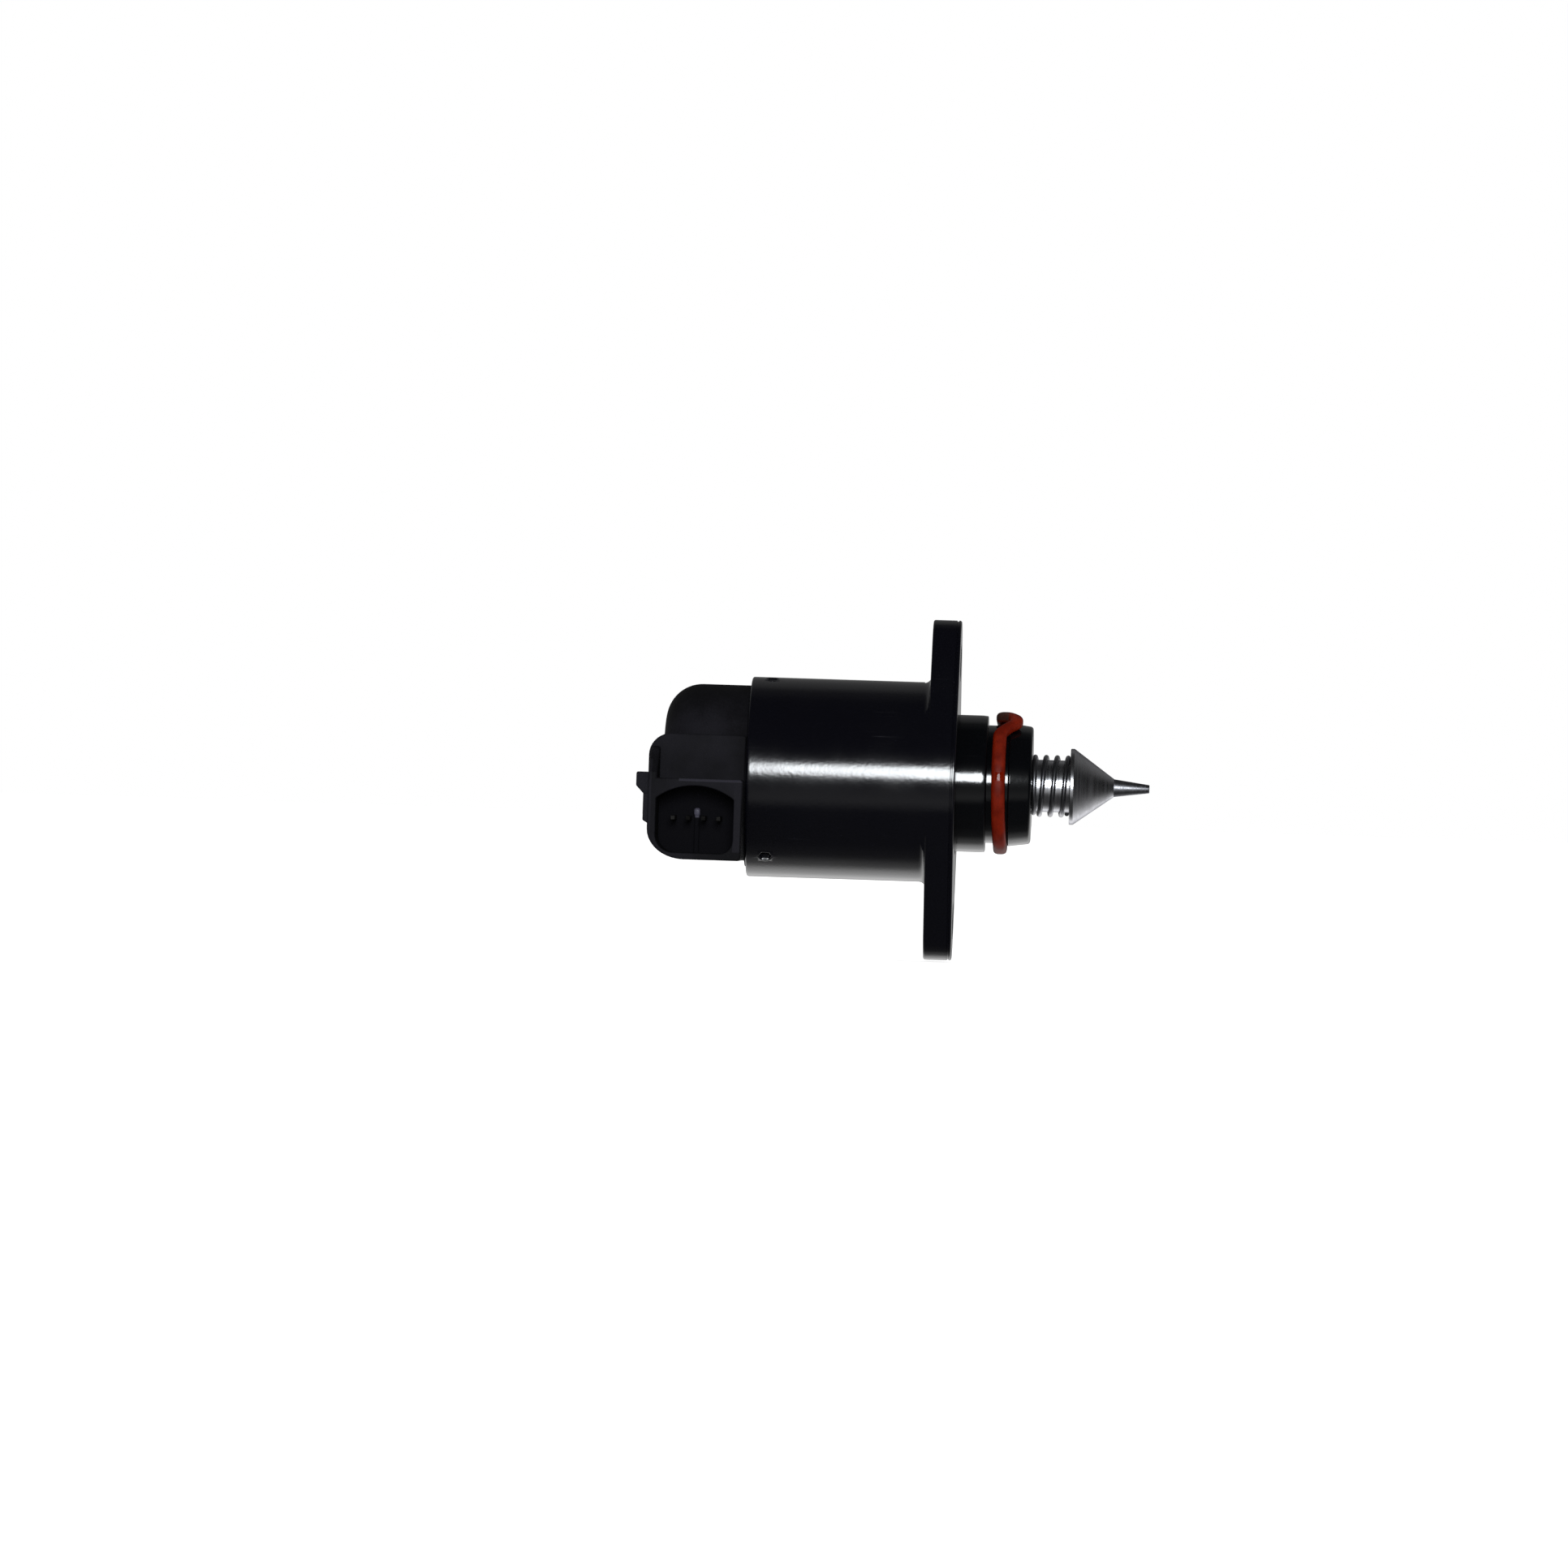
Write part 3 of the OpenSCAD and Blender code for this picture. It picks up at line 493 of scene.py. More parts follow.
FINISHES: dict[Slot, GlossPaint | MouldedPlastic | SoftRubber | TurnedMetal | PressedMetal] = {
    Slot.BLACK_PAINT: GlossPaint(
        "gloss_black_enamel", (0.0024, 0.0024, 0.0040), roughness=0.15, peel=0.000008, wear=1.0),
    Slot.NOSE_BLACK: GlossPaint(
        "gloss_black_nose", (0.0016, 0.0018, 0.0024), roughness=0.11, peel=0.000005, wear=0.4),
    Slot.BLACK_PLASTIC: MouldedPlastic(
        "moulded_black", (0.0054, 0.0051, 0.0070), roughness=0.70, grain=0.000016, shine=0.10,
        # Painted shade inside the socket, a painted glint on the rib's top and painted highlights along three
        # edges.
        painted_socket_shade=((-0.04298, -0.0203, -0.01143), (-0.03157, -0.0112, -0.00152)),
        glint_spot=((-0.03750, -0.0128, -0.0060), (-0.03705, -0.0122, -0.0048)),
        painted_edge_highlights=(((-0.0396, -0.0206, -0.00092), (-0.0305, -0.0200, -0.00055), 3.8),
                ((-0.0316, -0.0206, -0.0110), (-0.0307, -0.0200, -0.0012), 1.7),
                ((-0.0460, -0.0206, -0.0100), (-0.0437, -0.0130, 0.0020), 1.7))),
    Slot.SILICONE: SoftRubber(
        "red_silicone", (0.132, 0.0058, 0.0003), roughness=0.42, glow=0.12, shine=0.1,
        glint_spot=((0.0058, -0.0120, 0.0006), (0.0068, -0.0080, 0.0017)),
        # The far top of the ring is darker brown.
        darkened_far_top=((0.0030, -0.0030, 0.0096), (0.0071, 0.0100, 0.0120))),
    Slot.SATIN_STEEL: TurnedMetal(
        "turned_satin_steel", (0.76, 0.76, 0.79), roughness=0.24, marks=0.0000024),
    Slot.BRIGHT_STEEL: TurnedMetal(
        "ground_steel", (0.30, 0.30, 0.32), roughness=0.38, marks=0.0000003, ring_scale=4200.0),
    Slot.SPRING_STEEL: PressedMetal(
        "drawn_spring_wire", (0.34, 0.34, 0.36), roughness=0.32, grain=0.000002),
    Slot.DULL_STEEL: PressedMetal("pressed_steel", (0.40, 0.41, 0.43), roughness=0.38, grain=0.000004),
    Slot.MAGNET: PressedMetal(
        "sintered_magnet", (0.045, 0.045, 0.05), roughness=0.6, grain=0.000012, metallic=0.5),
    Slot.WHITE_PLASTIC: MouldedPlastic(
        "natural_nylon", (0.62, 0.59, 0.48), roughness=0.42, grain=0.000005),
    Slot.COPPER: PressedMetal("enamelled_copper", (0.62, 0.22, 0.08), roughness=0.26, grain=0.000002),
    Slot.BRASS: TurnedMetal("turned_brass", (0.62, 0.42, 0.14), roughness=0.26, marks=0.0000025),
    Slot.BLACK_RUBBER: SoftRubber("black_rubber_seal", (0.012, 0.012, 0.012), roughness=0.5, glow=0.0),
    # The contacts are coloured near black as painted shade of the socket around them.
    Slot.TINNED_PIN: PressedMetal("tinned_contact_painted_dark", (0.020, 0.019, 0.018), roughness=0.6, grain=0.000004),
}


class Workshop:
    """Makes meshes into finished pieces: places them, gives them a finish and a body."""

    def __init__(self) -> None:
        """Builds every finish once."""
        self.finishes = {slot: finish.build() for slot, finish in FINISHES.items()}

    def add(self, name: str, mesh: bpy.types.Mesh, slot: Slot) -> bpy.types.Object:
        """Adds a mesh to the scene as a piece.

        Args:
            name: Name of the piece.
            mesh: Its mesh, in place.
            slot: Slot that its finish comes from.

        Returns:
            The new object.
        """
        mesh.materials.clear()
        mesh.materials.append(self.finishes[slot])
        piece = bpy.data.objects.new(name, mesh)
        bpy.context.scene.collection.objects.link(piece)
        return piece

    def solid(self, name: str, mesh: bpy.types.Mesh, slot: Slot, sharp: float = 38.0) -> bpy.types.Object:
        """Adds a solid whose flat faces shade flat and whose roundings shade smooth.

        Args:
            name: Name of the piece.
            mesh: Its mesh, in place.
            slot: Slot that its finish comes from.
            sharp: Least angle of an edge that stays sharp, in degrees.

        Returns:
            The new object.
        """
        mesh.shade_smooth()
        mesh.set_sharp_from_angle(angle=math.radians(sharp))
        piece = self.add(name, mesh, slot)
        shading = piece.modifiers.new("shading", "WEIGHTED_NORMAL")
        shading.keep_sharp = True
        bake_modifiers(piece)
        return piece

    def hand_over(self, piece: bpy.types.Object, body: Body, *nodes: str) -> None:
        """Lets a piece ride on its body and stand for its nodes.

        Args:
            piece: The finished piece.
            body: Body that it moves with.
            nodes: CAD nodes that it replaces.
        """
        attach(piece, body.value)
        if nodes:
            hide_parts(*nodes)
        LOG.info("%s: %d faces on %s", piece.name, len(piece.data.polygons), body.value)

    def dress_node(self, node: str, slot: Slot) -> None:
        """Gives a CAD node that stays its finish.

        Args:
            node: Name of the node.
            slot: Slot that its finish comes from.
        """
        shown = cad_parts[node]
        shown.data.materials.clear()
        shown.data.materials.append(self.finishes[slot])
        LOG.info("%s: dressed as %s", node, self.finishes[slot].name)

    def rounded_copy(self, node: str, name: str, slot: Slot, width: float, segments: int = 3,
                     limit: float = 30.0) -> bpy.types.Object:
        """Copies a CAD node, merges its loose triangles and rounds its sharp edges.

        Args:
            node: Node to copy.
            name: Name of the new piece.
            slot: Slot that its finish comes from.
            width: Width of the rounding, in metres.
            segments: Faces across the rounding.
            limit: Least angle of an edge that is rounded, in degrees.

        Returns:
            The new object, with the rounding in its mesh.
        """
        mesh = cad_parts[node].data.copy()
        if "custom_normal" in mesh.attributes:
            mesh.attributes.remove(mesh.attributes["custom_normal"])
        bm = bmesh.new()
        bm.from_mesh(mesh)
        bmesh.ops.remove_doubles(bm, verts=bm.verts, dist=0.002 * MM)
        bmesh.ops.dissolve_limit(bm, angle_limit=math.radians(0.3), verts=bm.verts, edges=bm.edges)
        weigh_sharp_edges(bm, width, math.radians(limit))
        bm.to_mesh(mesh)
        bm.free()
        mesh.shade_smooth()
        mesh.set_sharp_from_angle(angle=math.radians(limit))
        piece = self.add(name, mesh, slot)
        bevel = piece.modifiers.new("rounding", "BEVEL")
        bevel.width = width
        bevel.segments = segments
        bevel.limit_method = "WEIGHT"
        bevel.use_clamp_overlap = False
        bevel.loop_slide = False
        bevel.miter_outer = "MITER_ARC"
        bevel.harden_normals = True
        bake_modifiers(piece)
        return piece


def weigh_sharp_edges(bm: bmesh.types.BMesh, width: float, limit: float) -> None:
    """Gives each sharp edge the share of the rounding that the edges beside it leave room for.

    Args:
        bm: Mesh to work on.
        width: Full width of the rounding.
        limit: Least angle of a sharp edge, in radians.
    """
    layer = bm.edges.layers.float.new("bevel_weight_edge")
    sharp = {edge for edge in bm.edges if edge.is_manifold and edge.calc_face_angle() > limit}
    room: dict[bmesh.types.BMVert, float] = {}
    for edge in sharp:
        for vert in edge.verts:
            along = (edge.other_vert(vert).co - vert.co).normalized()
            for other in vert.link_edges:
                if other not in sharp:
                    side = other.other_vert(vert).co - vert.co
                    free = side.cross(along).length * 0.45
                    room[vert] = min(room.get(vert, width), free)
    for edge in sharp:
        edge[layer] = min([1.0] + [room[vert] / width for vert in edge.verts if vert in room])


def bake_modifiers(piece: bpy.types.Object) -> None:
    """Turns a piece's modifiers into its mesh and removes them.

    Args:
        piece: Object to bake.
    """
    bpy.context.view_layer.update()
    graph = bpy.context.evaluated_depsgraph_get()
    made = bpy.data.meshes.new_from_object(piece.evaluated_get(graph), preserve_all_data_layers=True,
                                           depsgraph=graph)
    piece.modifiers.clear()
    piece.data = made
    made.name = piece.name


def smoothstep(low: float, high: float, value: float) -> float:
    """Smooth step from 0 at low to 1 at high.

    Args:
        low: Start of the step.
        high: End of the step.
        value: Value to test.

    Returns:
        A number from 0 to 1.
    """
    t = min(1.0, max(0.0, (value - low) / (high - low)))
    return t * t * (3.0 - 2.0 * t)


def polar(x: float, radius: float, degrees: float) -> Vector:
    """Point round the valve's axis.

    Args:
        x: Place along the axis.
        radius: Distance from the axis.
        degrees: Angle above the side that faces the camera.

    Returns:
        The point.
    """
    angle = math.radians(degrees)
    return Vector((x, -radius * math.cos(angle), radius * math.sin(angle)))


Outline = list[Vector]
Place = Callable[[float, float, float], Vector]


def along_y(u: float, v: float, w: float) -> Vector:
    """Point of a prism that runs along Y.

    Args:
        u: First coordinate of the outline, along X.
        v: Second coordinate of the outline, along Z.
        w: Height in the prism.

    Returns:
        The point.
    """
    return Vector((u, w, v))


def along_x(u: float, v: float, w: float) -> Vector:
    """Point of a prism that runs along X.

    Args:
        u: First coordinate of the outline, along Y.
        v: Second coordinate of the outline, along Z.
        w: Height in the prism.

    Returns:
        The point.
    """
    return Vector((w, u, v))


def skin(name: str, sections: Sequence[Sequence[Vector]], closed: bool) -> bpy.types.Mesh:
    """Skin over a list of ring-shaped sections, all with as many points.

    Args:
        name: Name of the mesh.
        sections: The sections in order.
        closed: Whether the last section joins the first one.

    Returns:
        A closed mesh whose faces point outwards.
    """
    bm = bmesh.new()
    rings = [[bm.verts.new(point) for point in section] for section in sections]
    count = len(rings[0])
    for i in range(len(rings) if closed else len(rings) - 1):
        here, after = rings[i], rings[(i + 1) % len(rings)]
        for j in range(count):
            k = (j + 1) % count
            bm.faces.new((here[j], here[k], after[k], after[j]))
    if not closed:
        bm.faces.new(rings[0][::-1])
        bm.faces.new(rings[-1])
    bmesh.ops.remove_doubles(bm, verts=bm.verts, dist=0.0002 * MM)
    bmesh.ops.delete(bm, geom=[edge for edge in bm.edges if edge.is_wire], context="EDGES")
    bmesh.ops.recalc_face_normals(bm, faces=bm.faces)
    mesh = bpy.data.meshes.new(name)
    bm.to_mesh(mesh)
    bm.free()
    mesh.shade_smooth()
    return mesh


def rounded_outline(corners: Sequence[tuple[float, float, float]], step: float = 11.0) -> Outline:
    """Closed outline whose corners are rounded, each to its own radius.

    Args:
        corners: Two coordinates and the radius of each corner, in millimetres.
        step: Largest angle between two points of a rounding, in degrees.

    Returns:
        Points in metres.
    """
    points: Outline = []
    for i, (u, v, radius) in enumerate(corners):
        here = Vector((u, v))
        before = (Vector(corners[i - 1][:2]) - here).normalized()
        after = (Vector(corners[(i + 1) % len(corners)][:2]) - here).normalized()
        if radius <= 0.0:
            points.append(here * MM)
            continue
        half = before.angle(after) / 2.0
        start = before * (radius / math.tan(half))
        centre = (before + after).normalized() * (radius / math.sin(half))
        arm = start - centre
        sweep = math.copysign(math.pi - 2.0 * half, before.y * after.x - before.x * after.y)
        steps = max(2, math.ceil(abs(math.degrees(sweep)) / step))
        for k in range(steps + 1):
            turned = Matrix.Rotation(sweep * k / steps, 2) @ arm
            points.append((here + centre + turned) * MM)
    return points


def shrunk(outline: Outline, amount: float) -> Outline:
    """Outline moved inwards by an amount, or outwards where the amount is negative.

    Args:
        outline: Points of a closed outline.
        amount: Distance to move.

    Returns:
        The moved points.
    """
    area = sum(a.x * b.y - a.y * b.x for a, b in zip(outline, outline[1:] + outline[:1]))
    way = math.copysign(1.0, area)
    moved: Outline = []
    for i, here in enumerate(outline):
        ahead = (outline[(i + 1) % len(outline)] - here).normalized()
        behind = (here - outline[i - 1]).normalized()
        first, second = Vector((-ahead.y, ahead.x)) * way, Vector((-behind.y, behind.x)) * way
        moved.append(here + (first + second) * (amount / (1.0 + first.dot(second))))
    return moved


def prism(name: str, outline: Outline, ends: tuple[float, float], place: Place,
          edges: tuple[float, float] = (0.0, 0.0), seam: tuple[float, float] | None = None) -> bpy.types.Mesh:
    """Prism with rounded end edges. A negative rounding flares a cutting prism at its end.

    Args:
        name: Name of the mesh.
        outline: Its outline.
        ends: Where it starts and ends, in millimetres.
        place: Turns outline and height into a point.
        edges: Rounding at the start and at the end, in millimetres.
        seam: Height and depth of a fine groove round it, in millimetres.

    Returns:
        The closed mesh.
    """
    levels: list[tuple[float, float]] = []
    for end, edge, way in ((ends[0], edges[0], 1.0), (ends[1], edges[1], -1.0)):
        steps = 4 if edge else 0
        arc = [math.radians(90.0 * k / steps) if steps else math.pi / 2.0 for k in range(steps + 1)]
        run = [(end + way * abs(edge) * (1.0 - math.cos(a)), edge * (1.0 - math.sin(a))) for a in arc]
        if edge < 0.0:
            run.insert(0, (end - way, edge))
        levels += run if way > 0.0 else run[::-1]
        if way > 0.0 and seam:
            levels += [(seam[0] + shift, depth) for shift, depth in
                       ((-0.16, 0.0), (-0.08, seam[1]), (0.08, seam[1]), (0.16, 0.0))]
    sections = [[place(point.x, point.y, height * MM) for point in shrunk(outline, inset * MM)]
                for height, inset in levels]
    return skin(name, sections, False)


def lathe(name: str, outline: Outline, centre: tuple[float, float] = (0.0, 0.0),
          steps: int = 144) -> bpy.types.Mesh:
    """Solid of revolution about an axis along X, with a bore or closed on the axis.

    Args:
        name: Name of the mesh.
        outline: Closed outline as place along the axis and radius.
        centre: Y and Z of the axis, in millimetres.
        steps: Faces round the axis.

    Returns:
        The closed mesh.
    """
    shift = Vector((0.0, centre[0], centre[1])) * MM
    sections = [[polar(point.x, point.y, 360.0 * i / steps) + shift for point in outline]
                for i in range(steps)]
    return skin(name, sections, True)


def radial_plug(name: str, x: float, degrees: float, profile: Sequence[tuple[float, float]],
                sides: int = 28) -> bpy.types.Mesh:
    """Round body that stands on a radius of the can.

    Args:
        name: Name of the mesh.
        x: Place along the axis, in millimetres.
        degrees: Angle above the side that faces the camera.
        profile: Distance from the axis and own radius, in millimetres.
        sides: Faces round it.

    Returns:
        The closed mesh.
    """
    out = polar(0.0, 1.0, degrees)
    side = out.cross(Vector((1.0, 0.0, 0.0)))
    sections = []
    for distance, own in profile:
        middle = out * distance + Vector((x, 0.0, 0.0))
        sections.append([(middle + Vector((own * math.cos(a), 0.0, 0.0)) + side * own * math.sin(a)) * MM
                         for a in (math.tau * k / sides for k in range(sides))])
    return skin(name, sections, False)


def block(name: str, low: Sequence[float], high: Sequence[float]) -> bpy.types.Mesh:
    """Cutting block between two corners.

    Args:
        name: Name of the mesh.
        low: Lowest corner, in millimetres.
        high: Highest corner, in millimetres.

    Returns:
        The closed mesh.
    """
    corners = [(low[0], low[2], 0.0), (high[0], low[2], 0.0), (high[0], high[2], 0.0), (low[0], high[2], 0.0)]
    return prism(name, rounded_outline(corners), (low[1], high[1]), along_y)


class Cut(Enum):
    """Ways to combine two solids."""

    JOIN = "UNION"
    TAKE = "DIFFERENCE"
    KEEP = "INTERSECT"


def combined(base: bpy.types.Mesh, *steps: tuple[Cut, bpy.types.Mesh]) -> bpy.types.Mesh:
    """Joins solids to a base, or cuts them from it, one after another.

    Args:
        base: Solid to start from.
        steps: What is done, and the solid that it is done with.

    Returns:
        The resulting closed mesh.
    """
    scene = bpy.context.scene
    work = bpy.data.objects.new("work", base)
    scene.collection.objects.link(work)
    for cut, mesh in steps:
        tool = bpy.data.objects.new("tool", mesh)
        scene.collection.objects.link(tool)
        modifier = work.modifiers.new("cut", "BOOLEAN")
        modifier.operation = cut.value
        modifier.solver = "MANIFOLD"
        modifier.object = tool
        bake_modifiers(work)
        bpy.data.objects.remove(tool)
    result = work.data
    bpy.data.objects.remove(work)
    result.name = base.name
    return result


class CoilTree(Wiring):
    """Geometry Nodes tree that winds a round or pointed wire about the valve's axis."""

    INPUTS = {
        "Wire radius": 0.0004, "Coil radius": 0.004, "Turns": 3.0, "Flat turns": 0.0,
        "Start": 0.0, "End": 0.01, "Start angle": 0.0,
    }

    def __init__(self) -> None:
        """Builds the tree with its named inputs."""
        super().__init__(bpy.data.node_groups.new("coil_about_axis", "GeometryNodeTree"))
        self.tree.interface.new_socket("Geometry", in_out="OUTPUT", socket_type="NodeSocketGeometry")
        self.sockets: dict[str, str] = {}
        for name, value in self.INPUTS.items():
            item = self.tree.interface.new_socket(name, in_out="INPUT", socket_type="NodeSocketFloat")
            item.default_value = value
            self.sockets[name] = item.identifier
        for name, kind in (("Points", "NodeSocketInt"), ("Sides", "NodeSocketInt"),
                           ("Finish", "NodeSocketMaterial")):
            item = self.tree.interface.new_socket(name, in_out="INPUT", socket_type=kind)
            self.sockets[name] = item.identifier
        self._wire_up()

    def _wire_up(self) -> None:
        """Links the path, its section, the caps and the finish."""
        given = self.node("NodeGroupInput").outputs
        line = self.node("GeometryNodeCurvePrimitiveLine", End=(1.0, 0.0, 0.0))
        path = self.node("GeometryNodeResampleCurve", Curve=line.outputs[0], Count=given["Points"])
        share = self.node("GeometryNodeSplineParameter").outputs["Factor"]
        both_flats = self.math("MULTIPLY", given["Flat turns"], 2.0)
        swept = self.math("MULTIPLY", share, self.math("ADD", given["Turns"], both_flats))
        turn = self.math("SUBTRACT", swept, given["Flat turns"])
        climbed = self.math("DIVIDE", turn, given["Turns"])
        climbed = self.math("MAXIMUM", self.math("MINIMUM", climbed, 1.0), 0.0)
        length = self.math("SUBTRACT", given["End"], given["Start"])
        x = self.math("ADD", given["Start"], self.math("MULTIPLY", length, climbed))
        angle = self.math("ADD", self.math("MULTIPLY", turn, math.tau), given["Start angle"])
        minus = self.math("MULTIPLY", given["Coil radius"], -1.0)
        near = self.math("MULTIPLY", self.math("COSINE", angle), minus)
        up = self.math("MULTIPLY", self.math("SINE", angle), given["Coil radius"])
        place = self.node("ShaderNodeCombineXYZ", X=x, Y=near, Z=up)
        moved = self.node("GeometryNodeSetPosition", Geometry=path.outputs[0], Position=place.outputs[0])
        section = self.node("GeometryNodeCurvePrimitiveCircle", Resolution=given["Sides"],
                            Radius=given["Wire radius"])
        tube = self.node("GeometryNodeCurveToMesh", Curve=moved.outputs[0],
                         Profile_Curve=section.outputs[0], Fill_Caps=True)
        smooth = self.node("GeometryNodeSetShadeSmooth", Geometry=tube.outputs[0])
        real = self.node("GeometryNodeRealizeInstances", Geometry=smooth.outputs[0])
        dressed = self.node("GeometryNodeSetMaterial", Geometry=real.outputs[0], Material=given["Finish"])
        self.node("NodeGroupOutput", Geometry=dressed.outputs[0])

    def wind(self, shop: Workshop, name: str, slot: Slot, points: int, sides: int,
             **sizes: float) -> bpy.types.Object:
        """Winds one coil and turns it into a plain mesh.

        Args:
            shop: Workshop that adds the piece.
            name: Name of the piece.
            slot: Slot that its finish comes from.
            points: Points along the wire.
            sides: Faces round the wire.
            sizes: Inputs of the tree by name, with _ for a space.

        Returns:
            The piece.
        """
        piece = shop.add(name, bpy.data.meshes.new(name), slot)
        modifier = piece.modifiers.new("coil", "NODES")
        modifier.node_group = self.tree
        for key, value in sizes.items():
            modifier[self.sockets[key.replace("_", " ")]] = float(value)
        modifier[self.sockets["Points"]] = points
        modifier[self.sockets["Sides"]] = sides
        modifier[self.sockets["Finish"]] = shop.finishes[slot]
        bake_modifiers(piece)
        bm = bmesh.new()
        bm.from_mesh(piece.data)
        bmesh.ops.recalc_face_normals(bm, faces=bm.faces)
        bm.to_mesh(piece.data)
        bm.free()
        return piece


@dataclass
class CanAndFlange:
    """Painted can with its eared flange, screw holes and crimp dimples, in millimetres."""

    can_r: float = 14.593
    bore_r: float = 13.2
    length: float = 30.3
    front_wall: float = 1.6
    nose_hole_r: float = 10.05
    flange_t: float = 4.15
    ear_r: float = 5.992
    ear_z: float = 18.85
    ear_shift: float = 1.1
    hole_r: float = 2.7
    fillet: float = 1.0
    edge: float = 0.3
    seam: tuple[float, float] = (-0.55, 0.13)
    dimple_x: float = -27.35
    dimple_angles: tuple[float, ...] = (78.0, -52.0, -128.0)

    def build(self, shop: Workshop) -> None:
        """Builds and dresses the can.

        Args:
            shop: Workshop that adds the pieces.
        """
        ears = prism("ears", self._flange_outline(self.can_r - 0.04), (-self.flange_t, 0.0), along_x,
                     (self.edge, self.edge), self.seam)
        steps = [(Cut.JOIN, ears), (Cut.JOIN, self._fillets()), (Cut.TAKE, self._inside())]
        for side in (-1.0, 1.0):
            steps.append((Cut.TAKE, self._screw_hole(side * self.ear_z - self.ear_shift)))
        for angle in self.dimple_angles:
            steps.append((Cut.JOIN, self._bulge(angle)))
            steps.append((Cut.TAKE, self._punch(angle)))
        can = shop.solid("can_shell", combined(self._drum(), *steps), Slot.BLACK_PAINT)
        shop.hand_over(can, Body.HOUSING, "can_housing")

    def _drum(self) -> bpy.types.Mesh:
        """Round body with its seam, divided along its length so that shading stays true.

        Returns:
            The closed mesh.
        """
        seam_x, seam_d = self.seam
        sides = [-1.8, -4.4, -5.6, -9.0, -13.0, -17.0, -21.0, -25.0, -26.2, -28.5, -29.7]
        corners = [(-self.length, 0.0, 0.0), (-self.length, self.can_r, self.edge)]
        corners += [(x, self.can_r, 0.0) for x in reversed(sides)]
        corners += [(seam_x - 0.16, self.can_r, 0.0), (seam_x - 0.08, self.can_r - seam_d, 0.0),
                    (seam_x + 0.08, self.can_r - seam_d, 0.0), (seam_x + 0.16, self.can_r, 0.0),
                    (0.0, self.can_r, 0.22), (0.0, 0.0, 0.0)]
        return lathe("drum", rounded_outline(corners))

    def _flange_outline(self, radius: float) -> Outline:
        """Circle with two ears and the lines that join them.

        Args:
            radius: Radius of the circle, in millimetres.

        Returns:
            The outline in Y and Z.
        """
        points: Outline = []
        for side in (1.0, -1.0):
            reach = self.ear_z - side * self.ear_shift
            lean = math.degrees(math.asin((radius - self.ear_r) / reach))
            for step in range(25):
                angle = math.radians(lean + (180.0 - 2.0 * lean) * step / 24.0)
                points.append(Vector((self.ear_r * math.cos(angle),
                                      reach + self.ear_r * math.sin(angle))) * side * MM)
            other = self.ear_z + side * self.ear_shift
            end = 180.0 + math.degrees(math.asin((radius - self.ear_r) / other))
            for step in range(25):
                angle = math.radians(180.0 - lean + (end - 180.0 + lean) * step / 24.0)
                points.append(Vector((math.cos(angle), math.sin(angle))) * radius * side * MM)
        return points

    def _fillets(self) -> bpy.types.Mesh:
        """Hollow fillets between the can and the rear of both ears.

        Returns:
            The closed mesh.
        """
        low, r = -self.flange_t - self.fillet, self.can_r
        arc = [(low + self.fillet * math.sin(a), r + self.fillet - self.fillet * math.cos(a), 0.0)
               for a in (math.radians(10.0 * k) for k in range(10))]
        ring = [(low, r - 0.5, 0.0), *arc, (-self.flange_t + 1.0, r + self.fillet, 0.0),
                (-self.flange_t + 1.0, r - 0.5, 0.0)]
        reach = prism("reach", shrunk(self._flange_outline(self.can_r), 0.25 * MM),
                      (-self.flange_t - 2.0, -self.flange_t + 0.8), along_x)
        return combined(lathe("fillet", rounded_outline(ring)), (Cut.KEEP, reach))

    def _inside(self) -> bpy.types.Mesh:
        """Bore for the stator and hole for the nose.

        Returns:
            The cutting solid.
        """
        rear, wall = -self.length - 1.0, -self.front_wall
        corners = [(rear, 0.0, 0.0), (rear, self.bore_r + 1.15, 0.0), (-self.length + 0.15, self.bore_r, 0.0),
                   (wall, self.bore_r, 0.2), (wall, self.nose_hole_r, 0.0), (-0.5, self.nose_hole_r, 0.0),
                   (1.0, self.nose_hole_r + 1.5, 0.0), (1.0, 0.0, 0.0)]
        return lathe("inside", rounded_outline(corners))

    def _screw_hole(self, z: float) -> bpy.types.Mesh:
        """Screw hole with a small chamfer at both faces.

        Args:
            z: Height of its axis, in millimetres.

        Returns:
            The cutting solid.
        """
        r, low = self.hole_r, -self.flange_t
        corners = [(low - 1.0, 0.0, 0.0), (low - 1.0, r + 1.3, 0.0), (low + 0.3, r, 0.0), (-0.3, r, 0.0),
                   (1.0, r + 1.3, 0.0), (1.0, 0.0, 0.0)]
        return lathe("hole", rounded_outline(corners), centre=(0.0, z), steps=64)

    def _bulge(self, degrees: float) -> bpy.types.Mesh:
        """Metal that the punch has pushed inwards, with a low burr round its mouth.

        Args:
            degrees: Angle above the side that faces the camera.

        Returns:
            The solid.
        """
        r = self.can_r
        return radial_plug("bulge", self.dimple_x, degrees,
                           [(self.bore_r - 0.6, 0.6), (self.bore_r - 0.5, 0.8), (self.bore_r - 0.2, 0.9),
                            (r - 0.35, 0.9), (r - 0.35, 1.3), (r - 0.05, 1.3), (r + 0.03, 1.15),
                            (r + 0.05, 1.0)])

    def _punch(self, degrees: float) -> bpy.types.Mesh:
        """Six-sided mark of the crimping punch.

        Args:
            degrees: Angle above the side that faces the camera.

        Returns:
            The cutting solid.
        """
        r = self.can_r
        return radial_plug("punch", self.dimple_x, degrees,
                           [(r - 1.05, 0.42), (r - 0.45, 0.80), (r - 0.05, 0.94), (r + 0.03, 1.02),
                            (r + 0.06, 1.15), (r + 0.4, 1.6)], sides=6)


